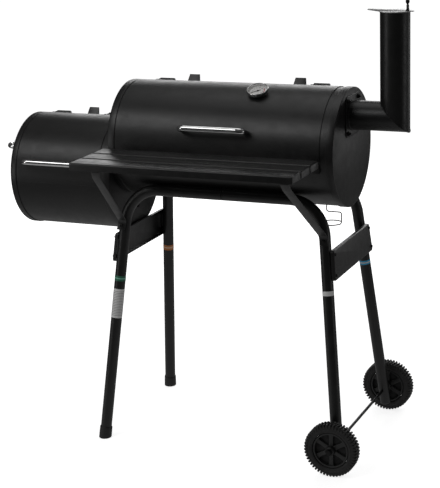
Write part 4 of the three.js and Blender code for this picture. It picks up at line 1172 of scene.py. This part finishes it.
def make_air_damper():
    """A swinging disc on an ear, with a tab to push it by, over the firebox's air hole."""
    face = FIREBOX["x0"] - CAP_FACE
    thick, pivot, r = 0.0016, AIR_DAMPER_PIVOT, AIR_DAMPER_RADIUS
    lean_tab = math.degrees(math.asin(0.007 / r))
    lean_neck = math.degrees(math.asin(0.009 / r))
    points = arc_points(0, 0, r, -90 + lean_tab, 90 - lean_neck)
    points += arc_points(0, pivot, 0.010, -20, 200)
    points += arc_points(0, 0, r, 90 + lean_neck, 270 - lean_tab)
    points += softened([(-0.007, -0.032), (-0.007, -0.046), (0.007, -0.046),
                        (0.007, -0.032)], 0.003, 4)
    shape = plate(tabbed_outline(points), [circle_of(0, pivot, 0.0033, 24)], thick, 0.0004)
    place = Matrix.Translation(at(face - GAP - thick, 0, AIR_HOLE_Z)) @ facing(-1)
    part("air_damper", moved(shape, place), "drum_coat", "air_damper")
    screw = merge(washer(0.0075, 0.0032, 0.0008), hexagon(0.010, 0.0007, 0.0042))
    place = at(face - 2 * GAP - thick, 0, AIR_HOLE_Z + pivot)
    shank = lathe([(0, -0.0019), (0.003, -0.0019), (0.003, 0.001), (0, 0.001)], 24)
    shank = placed(shank, place, (-1, 0, 0))
    part("air_damper_bolt", merge(placed(screw, place, (-1, 0, 0)), shank), "zinc_steel")


# ---------- legs, feet and panels ----------

def leg_x(z):
    return LEG_FOOT_X - LEG_SPLAY * z


def leg_y(z):
    return LEG_FOOT_Y - LEG_LEAN * z


def leg_axis(side, back):
    return Vector((-side * LEG_SPLAY, -back * LEG_LEAN, 1)).normalized()


def make_leg(name, side, back, bottom):
    """One bent tube, from the ground round a wide bend and in under the barrel. back is -1 at the front."""
    run = LEG_RUN_HEIGHT
    corners = [
        at(side * leg_x(bottom), back * leg_y(bottom), bottom),
        at(side * leg_x(run), back * leg_y(run), run),
        at(side * 0.0005, back * leg_y(run), run),
    ]
    shape = tube(bent(corners, LEG_BEND, 20), LEG_RADIUS, 40, end_round=0.0012)
    part(name, shape, "frame_coat")


def sleeve(side, back, low, high, radius, thickness):
    """A thin band round a leg between two heights."""
    profile = [(radius, 0), (radius + thickness, 0), (radius + thickness, 1), (radius, 1)]
    length = (high - low) / leg_axis(side, back).z
    band = lathe([(r, h * length) for r, h in profile], 40, ring=True)
    return placed(band, at(side * leg_x(low), back * leg_y(low), low), leg_axis(side, back))


def make_foot_cap(name, back):
    """A moulded cap on a leg's lower end, flat on the ground."""
    axis = leg_axis(-1, back)
    foot = at(-LEG_FOOT_X, back * LEG_FOOT_Y, 0)
    turn = axis.to_track_quat("Z", "Y").to_matrix()
    outside, inside = LEG_RADIUS + 0.0024, LEG_RADIUS + 0.0004
    stations = [
        (outside - 0.0012, -0.012, 0.0), (outside, -0.012, 0.0014), (outside, 0.010, 0.0),
        (outside - 0.0002, 0.0305, 0.0), (outside - 0.0005, 0.0325, 0.0), (outside - 0.0013, 0.0338, 0.0),
        (inside, 0.0340, 0.0), (inside, 0.0100, 0.0),
    ]
    loops = []
    for radius, height, lowest in stations:
        loop = []
        for k in range(48):
            a = 2 * math.pi * k / 48
            point = foot + turn @ Vector((radius * math.cos(a), radius * math.sin(a), height))
            if point.z < lowest:
                point += axis * ((lowest - point.z) / axis.z)
            loop.append(point)
        loops.append(loop)
    part(name, loft(loops), "foot_plastic")


def make_panel(name, side):
    """A shallow pressed tray bolted across a pair of legs."""
    def wide(z):
        return leg_y(z) + PANEL_MARGIN

    corners = [(-wide(PANEL_LOW), PANEL_LOW), (wide(PANEL_LOW), PANEL_LOW),
               (wide(PANEL_HIGH), PANEL_HIGH), (-wide(PANEL_HIGH), PANEL_HIGH)]
    flat = tray(outline_of(corners, 0.006, 4), PANEL_DEPTH, 0.0030, 0.0014)
    vertices = [at(side * (leg_x(v.y) + PANEL_OUTSET + v.z), side * v.x, v.y) for v in flat[0]]
    part(name, (vertices, flat[1]), "frame_coat")
    out = Vector((side, 0, LEG_SPLAY)).normalized()
    bolts = []
    for back in (-1, 1):
        for z in PANEL_BOLT_HEIGHTS:
            centre = at(side * leg_x(z), back * leg_y(z), z)
            head = centre + out * (PANEL_OUTSET * out.x * side - 0.0002)
            bolts.append(placed(hexagon(0.008, 0, 0.003), head, out, 0.2))
            spacer = lathe([(0.0034, 0), (0.0062, 0), (0.0062, 1), (0.0034, 1)], 24, ring=True)
            length = PANEL_OUTSET - 0.0014 - LEG_RADIUS + 0.0004
            spacer = moved(spacer, Matrix.Diagonal((1, 1, length, 1)))
            bolts.append(placed(spacer, centre + out * (LEG_RADIUS - 0.0004), out))
    piece(f"{name}_bolts", merge(*bolts), "black_steel")


def make_leg_bolts():
    """The bolts that hold each run, their heads inside the barrel."""
    run = Vector((0, leg_y(LEG_RUN_HEIGHT), LEG_RUN_HEIGHT - BARREL["z"]))
    bolts = []
    for back in (-1, 1):
        out = Vector((0, back * run.y, run.z)).normalized()
        for x in LEG_BOLTS_X:
            wall = at(x, 0, BARREL["z"]) + out * (RADIUS - SHEET)
            bolts.append(placed(bolt(0.010, 0.0042), wall, -out))
    piece("leg_run_bolts", merge(*bolts), "black_steel")


def make_legs():
    for back, word in ((-1, "front"), (1, "rear")):
        make_leg(f"leg_{word}_left", -1, back, LEFT_LEG_BOTTOM)
        make_leg(f"leg_{word}_right", 1, back, RIGHT_LEG_BOTTOM)
        make_foot_cap(f"foot_cap_{word}", back)
    for side, word in ((-1, "left"), (1, "right")):
        make_panel(f"side_panel_{word}", side)
    make_leg_bolts()
    labels = (
        ("label_front_left_band", -1, -1, 0.464, 0.479, "label_green"),
        ("label_front_left_sheet", -1, -1, 0.357, 0.441, "label_white"),
        ("label_front_left_stripe", -1, -1, 0.4697, 0.4733, "label_mint"),
        ("label_rear_left_band", -1, 1, 0.472, 0.488, "label_orange"),
        ("label_rear_left_stripe", -1, 1, 0.4782, 0.4828, "label_peach"),
        ("label_front_right_band", 1, -1, 0.477, 0.4895, "label_white"),
        ("label_rear_right_band", 1, 1, 0.479, 0.491, "label_blue"),
        ("label_rear_right_stripe", 1, 1, 0.4833, 0.4867, "label_white"),
    )
    for name, side, back, low, high, finish in labels:
        lift = STRIPE_LIFT if name.endswith("stripe") else LABEL_LIFT
        piece(name, sleeve(side, back, low, high, LEG_RADIUS - LABEL_SINK, lift), finish)
    rules = [
        sleeve(-1, -1, z, z + 0.0011, LEG_RADIUS - LABEL_SINK, STRIPE_LIFT)
        for z in spaced(0.364, 0.433, 0.0046)
    ]
    piece("label_front_left_rules", merge(*rules), "label_grey")


# ---------- wheels ----------

def make_tyre(name, place, body):
    profile = softened([
        (TYRE_INSIDE, -0.0145), (0.0545, -0.0170), (0.0600, -0.0172),
        (0.0660, -0.0165), (0.0700, -0.0135), (0.0708, 0.0),
        (0.0700, 0.0135), (0.0660, 0.0165), (0.0600, 0.0172),
        (0.0545, 0.0170), (TYRE_INSIDE, 0.0145),
    ], 0.003, 3, closed=True)
    parts = [lathe(profile, 96, ring=True)]
    count, root = 50, 0.0704
    for row, offset in ((-1, 0.0), (1, 0.5)):
        section = softened([
            (0.0640, row * 0.0178), (0.0718, row * 0.0180), (0.0750, row * 0.0150),
            (0.0750, row * 0.0022), (0.0735, row * 0.0008), (0.0690, row * 0.0008),
            (0.0640, row * 0.0120),
        ], 0.0012, 2, closed=True)
        for k in range(count):
            turn = Matrix.Rotation(2 * math.pi * (k + offset) / count, 4, "Z")
            block = []
            for side, rise in ((-0.0031, 0.0), (-0.0015, 1.0), (0.0015, 1.0), (0.0031, 0.0)):
                block.append([
                    turn @ Vector((root + (p.x - root) * rise if p.x > root else p.x, side, p.y))
                    for p in section
                ])
            parts.append(loft(block))
    for side in (-1, 1):
        bead = lathe([(0.0570, side * 0.0168), (0.0580, side * 0.0178), (0.0592, side * 0.0178),
                      (0.0602, side * 0.0168)], 96, ring=True)
        parts.append(bead)
    part(name, moved(merge(*parts), place), "tyre_rubber", body)


def make_rim(name, place, body):
    seat = TYRE_INSIDE - 0.0008
    band = lathe(softened([
        (seat - 0.0052, -0.0130), (seat - 0.0010, -0.0132), (seat, -0.0120),
        (seat, 0.0120), (seat - 0.0010, 0.0132), (seat - 0.0052, 0.0130),
        (seat - 0.0040, 0.0),
    ], 0.0010, 3, closed=True), 96, ring=True)
    hub = lathe(softened([
        (AXLE_RADIUS + 0.0003, -HUB_HALF), (0.0105, -HUB_HALF), (0.0130, -HUB_HALF + 0.003),
        (0.0140, -0.010), (0.0140, 0.010), (0.0130, HUB_HALF - 0.003),
        (0.0105, HUB_HALF), (AXLE_RADIUS + 0.0003, HUB_HALF),
    ], 0.0008, 3, closed=True), 48, ring=True)
    spokes = []
    for k in range(6):
        loops = []
        for radius, half, deep in (
            (0.0110, 0.0070, 0.0090), (0.0180, 0.0062, 0.0078), (0.0300, 0.0060, 0.0072),
            (0.0400, 0.0066, 0.0074), (0.0465, 0.0084, 0.0080),
        ):
            section = softened(rectangle(half, deep), 0.0022, 3, closed=True)
            loops.append([Vector((radius, p.x, p.y)) for p in section])
        spokes.append(moved(loft(loops), Matrix.Rotation(math.pi * k / 3 + math.pi / 6, 4, "Z")))
    web = lathe([(0.0120, -0.0015), (0.0470, -0.0015), (0.0470, 0.0015), (0.0120, 0.0015)], 72, ring=True)
    part(name, moved(merge(band, hub, *spokes), place), "rim_plastic", body)
    # The web gets the darker finish: painted shade for the shadowed pockets between the spokes.
    piece(f"{name}_web", moved(web, place), "web_plastic_painted_shade", body)


def make_wheels():
    x = leg_x(WHEEL_RADIUS)
    for side, word in ((-1, "front"), (1, "rear")):
        centre = at(x, side * WHEEL_Y, WHEEL_RADIUS)
        place = Matrix.Translation(centre) @ Matrix.Rotation(math.pi / 2, 4, "X")
        make_tyre(f"tyre_{word}", place, f"{word}_wheel")
        make_rim(f"wheel_rim_{word}", place, f"{word}_wheel")
    inner, outer = WHEEL_Y - HUB_HALF - GAP, WHEEL_Y + HUB_HALF + GAP
    along = Vector((0, 1, 0))
    centre = at(x, 0, WHEEL_RADIUS)
    end = outer + 0.006
    rod = lathe([
        (0, -end), (AXLE_RADIUS - 0.0006, -end), (AXLE_RADIUS, -end + 0.0006),
        (AXLE_RADIUS, end - 0.0006), (AXLE_RADIUS - 0.0006, end), (0, end),
    ], 32)
    parts = [placed(rod, centre, along)]
    for sign in (-1, 1):
        out = along * sign
        parts.append(placed(washer(0.0080, AXLE_RADIUS, 0.0018), centre + out * (inner - 0.0024), out))
        parts.append(placed(washer(0.0100, AXLE_RADIUS, 0.0014), centre + out * (outer + 0.0002), out))
        parts.append(placed(hexagon(0.0130, 0.0, 0.0050), centre + out * (outer + 0.0016), out))
    part("axle", merge(*parts), "black_steel")


# ---------- shelf ----------

def make_shelf():
    for i, word in enumerate(("front", "middle", "rear")):
        y0 = SHELF_FRONT + i * SLAT_PITCH
        y1 = y0 + SLAT_WIDTH
        outline = outline_of([(SHELF_X0, y0), (SHELF_X1, y0), (SHELF_X1, y1), (SHELF_X0, y1)], 0.004, 4)
        shape = tray(outline, SLAT_DEPTH, 0.0045, 0.0014)
        shape = ([at(v.x, v.y, SHELF_TOP + v.z) for v in shape[0]], shape[1])
        part(f"shelf_slat_{word}", shape, "frame_coat")
    for word, (top_x, leg_side_x) in BRACES_X.items():
        make_brace(f"shelf_brace_{word}", top_x, leg_side_x)


def make_brace(name, top_x, leg_side_x):
    """A bent strip: a foot on the barrel, an arm under the slats and a diagonal down to the leg."""
    arm = SHELF_TOP - SLAT_DEPTH - GAP - BRACE_SHEET / 2
    slope = (top_x - leg_side_x) / (arm - BRACE_LOW)

    def leg_face(z):
        return -leg_y(z) - LEG_RADIUS - BRACE_SHEET / 2 - 0.001

    def spot(y, z):
        return at(top_x + (z - arm) * slope, y, z)

    wall = -RADIUS - BRACE_SHEET / 2
    front = SHELF_FRONT + 0.0105
    arm_path = softened([spot(wall + 0.001, arm - 0.024), spot(wall - 0.0008, arm - 0.0002),
                         spot(front, arm), spot(front + 0.016, arm - 0.0215)], 0.006, 6)
    low = BRACE_LOW
    path = arm_path[:-1] + softened([
        spot(front + 0.016, arm - 0.0215), spot(leg_face(low), low),
        spot(leg_face(low - 0.026), low - 0.026),
    ], 0.012, 6)
    shape = ribbon(path, (1, 0, 0), BRACE_WIDTH, BRACE_SHEET)
    part(name, shape, "frame_coat")
    parts = []
    bolt_z = low - 0.014
    out = Vector((0, -1, -LEG_LEAN)).normalized()
    outer = spot(leg_face(bolt_z) - BRACE_SHEET / 2 + 0.0002, bolt_z)
    parts.append(placed(dome(0.0055, 0.0026), outer, out))
    for i in range(3):
        y = SHELF_FRONT + i * SLAT_PITCH + SLAT_WIDTH / 2
        place = at(top_x, y, arm - BRACE_SHEET / 2)
        parts.append(placed(bolt(0.009, 0.0036), place, (0, 0, -1)))
    piece(f"{name}_bolts", merge(*parts), "black_steel")


# ---------- grease can hanger ----------

def make_hanger():
    top = BARREL["z"] - RADIUS - 2 * GAP
    shoulder, ring_z, ring_radius, ring_x = 0.668, 0.636, 0.029, 0.270
    side = ring_x + ring_radius
    drop = bent([
        at(0.256, 0, top), at(0.256, 0, shoulder), at(side, 0, shoulder), at(side, 0, ring_z + 0.001),
    ], 0.006, 6)
    ring = [
        at(ring_x + ring_radius * cosine(a), -ring_radius * sine(a), ring_z) for a in spaced(12, 325, 7)
    ]
    wire = drop[:-1] + [at(side, -0.0006, ring_z + 0.004)] + ring
    part("grease_can_hanger", tube(wire, 0.0017, 14, end_round=0.0006), "dull_wire")


# ---------- floor, lights, camera ----------

def make_stage():
    """White paper that stays white to the camera, and throws back a pool of light round the smoker."""
    bpy.ops.mesh.primitive_plane_add(size=60, location=(0, 0, -0.0004))
    floor = bpy.context.object
    floor.name = "studio_floor"
    paper = bpy.data.materials.new("studio_floor")
    paper.use_nodes = True
    nodes, links = paper.node_tree.nodes, paper.node_tree.links
    shader = nodes["Principled BSDF"]
    shader.inputs["Base Color"].default_value = (0.86, 0.86, 0.86, 1)
    shader.inputs["Roughness"].default_value = 0.9
    shader.inputs["Specular IOR Level"].default_value = 0.1
    place = nodes.new("ShaderNodeTexCoord")
    reach = nodes.new("ShaderNodeVectorMath")
    reach.operation = "LENGTH"
    links.new(place.outputs["Object"], reach.inputs[0])

    def glow(near, far, start, end):
        fade = nodes.new("ShaderNodeMapRange")
        for socket, value in (("From Min", start), ("From Max", end), ("To Min", near), ("To Max", far)):
            fade.inputs[socket].default_value = value
        lit = nodes.new("ShaderNodeEmission")
        links.new(reach.outputs["Value"], fade.inputs["Value"])
        links.new(fade.outputs["Result"], lit.inputs["Strength"])
        return lit

    total = nodes.new("ShaderNodeAddShader")
    links.new(shader.outputs[0], total.inputs[0])
    links.new(glow(FLOOR_GLOW, 1.0, 0.8, 2.2).outputs[0], total.inputs[1])
    choose = nodes.new("ShaderNodeMixShader")
    seen = nodes.new("ShaderNodeLightPath")
    links.new(seen.outputs["Is Camera Ray"], choose.inputs["Fac"])
    links.new(glow(BOUNCE_NEAR, BOUNCE_FAR, 0.7, 2.8).outputs[0], choose.inputs[1])
    links.new(total.outputs[0], choose.inputs[2])
    links.new(choose.outputs[0], nodes["Material Output"].inputs["Surface"])
    floor.data.materials.append(paper)


def make_world():
    world = bpy.data.worlds.new("studio")
    bpy.context.scene.world = world
    world.use_nodes = True
    nodes, links = world.node_tree.nodes, world.node_tree.links
    fill = nodes["Background"]
    fill.inputs["Color"].default_value = (1, 1, 1, 1)
    fill.inputs["Strength"].default_value = WORLD_FILL
    white = nodes.new("ShaderNodeBackground")
    white.inputs["Strength"].default_value = 1.0
    seen = nodes.new("ShaderNodeLightPath")
    choose = nodes.new("ShaderNodeMixShader")
    links.new(seen.outputs["Is Camera Ray"], choose.inputs["Fac"])
    links.new(fill.outputs[0], choose.inputs[1])
    links.new(white.outputs[0], choose.inputs[2])
    links.new(choose.outputs[0], nodes["World Output"].inputs["Surface"])


def softbox(name, place, target, width, height, power):
    lamp = bpy.data.lights.new(name, "AREA")
    lamp.shape = "RECTANGLE"
    lamp.size, lamp.size_y = width, height
    lamp.energy = power
    holder = bpy.data.objects.new(name, lamp)
    bpy.context.scene.collection.objects.link(holder)
    holder.location = place
    holder.rotation_mode = "QUATERNION"
    holder.rotation_quaternion = (Vector(target) - Vector(place)).to_track_quat("-Z", "Y")
    holder.visible_camera = False


def make_lights():
    softbox("key_softbox", (-1.3, -2.1, 2.8), (0.0, 0.0, 0.8), 2.4, 1.0, 24)
    softbox("top_softbox", (0.0, 0.5, 3.6), (0.0, 0.0, 0.0), 3.0, 2.4, 20)
    softbox("back_softbox", (-0.4, 3.4, 1.9), (0.0, 0.0, 0.8), 4.0, 1.4, 46)
    softbox("right_fill", (2.3, 3.1, 0.5), (0.3, 0.0, 0.8), 1.6, 1.4, 4.5)
    softbox("left_card", (-2.6, -2.2, 0.6), (0.2, 0.0, 0.8), 0.9, 1.6, 8)
    softbox("right_card", (3.4, 0.4, 0.6), (0.4, 0.0, 0.8), 0.9, 1.6, 5)


def make_camera():
    yaw, pitch, roll = (math.radians(a) for a in CAMERA_ANGLES)
    level = Vector((math.cos(yaw), math.sin(yaw), 0))
    forward = Vector((-math.sin(yaw) * math.cos(pitch), math.cos(yaw) * math.cos(pitch), -math.sin(pitch)))
    upward = level.cross(forward)
    right = level * math.cos(roll) + upward * math.sin(roll)
    up = upward * math.cos(roll) - level * math.sin(roll)
    data = bpy.data.cameras.new("camera")
    data.lens = CAMERA_LENS
    data.sensor_width = 36
    camera = bpy.data.objects.new("camera", data)
    bpy.context.scene.collection.objects.link(camera)
    turn = Matrix((right, up, -forward)).transposed().to_4x4()
    camera.matrix_world = Matrix.Translation(at(*CAMERA_PLACE)) @ turn
    bpy.context.scene.camera = camera


# ---------- assembly ----------

make_barrels()
for lid_prefix, lid_drum, hinge_spacing, stop_places in (
    ("main", BARREL, MAIN_HINGE_SPACING, ((-MAIN_STOP_SPACING, "_left"), (MAIN_STOP_SPACING, "_right"))),
    ("firebox", FIREBOX, FIREBOX_HINGE_SPACING, ((0.0, ""),)),
):
    make_lid(lid_prefix, lid_drum)
    middle = lid_middle(lid_drum)
    make_hinge(lid_prefix, "left", middle - hinge_spacing, lid_drum)
    make_hinge(lid_prefix, "right", middle + hinge_spacing, lid_drum)
    for stop_x, suffix in stop_places:
        make_stop(f"{lid_prefix}_lid_stop{suffix}", middle + stop_x, lid_drum)
make_handles()
make_thermometer()
make_grates()
make_chimney()
make_stack_damper()
make_air_damper()
make_legs()
make_wheels()
make_shelf()
make_hanger()
make_stage()
make_world()
make_lights()
make_camera()
bpy.context.scene.view_settings.view_transform = "Standard"
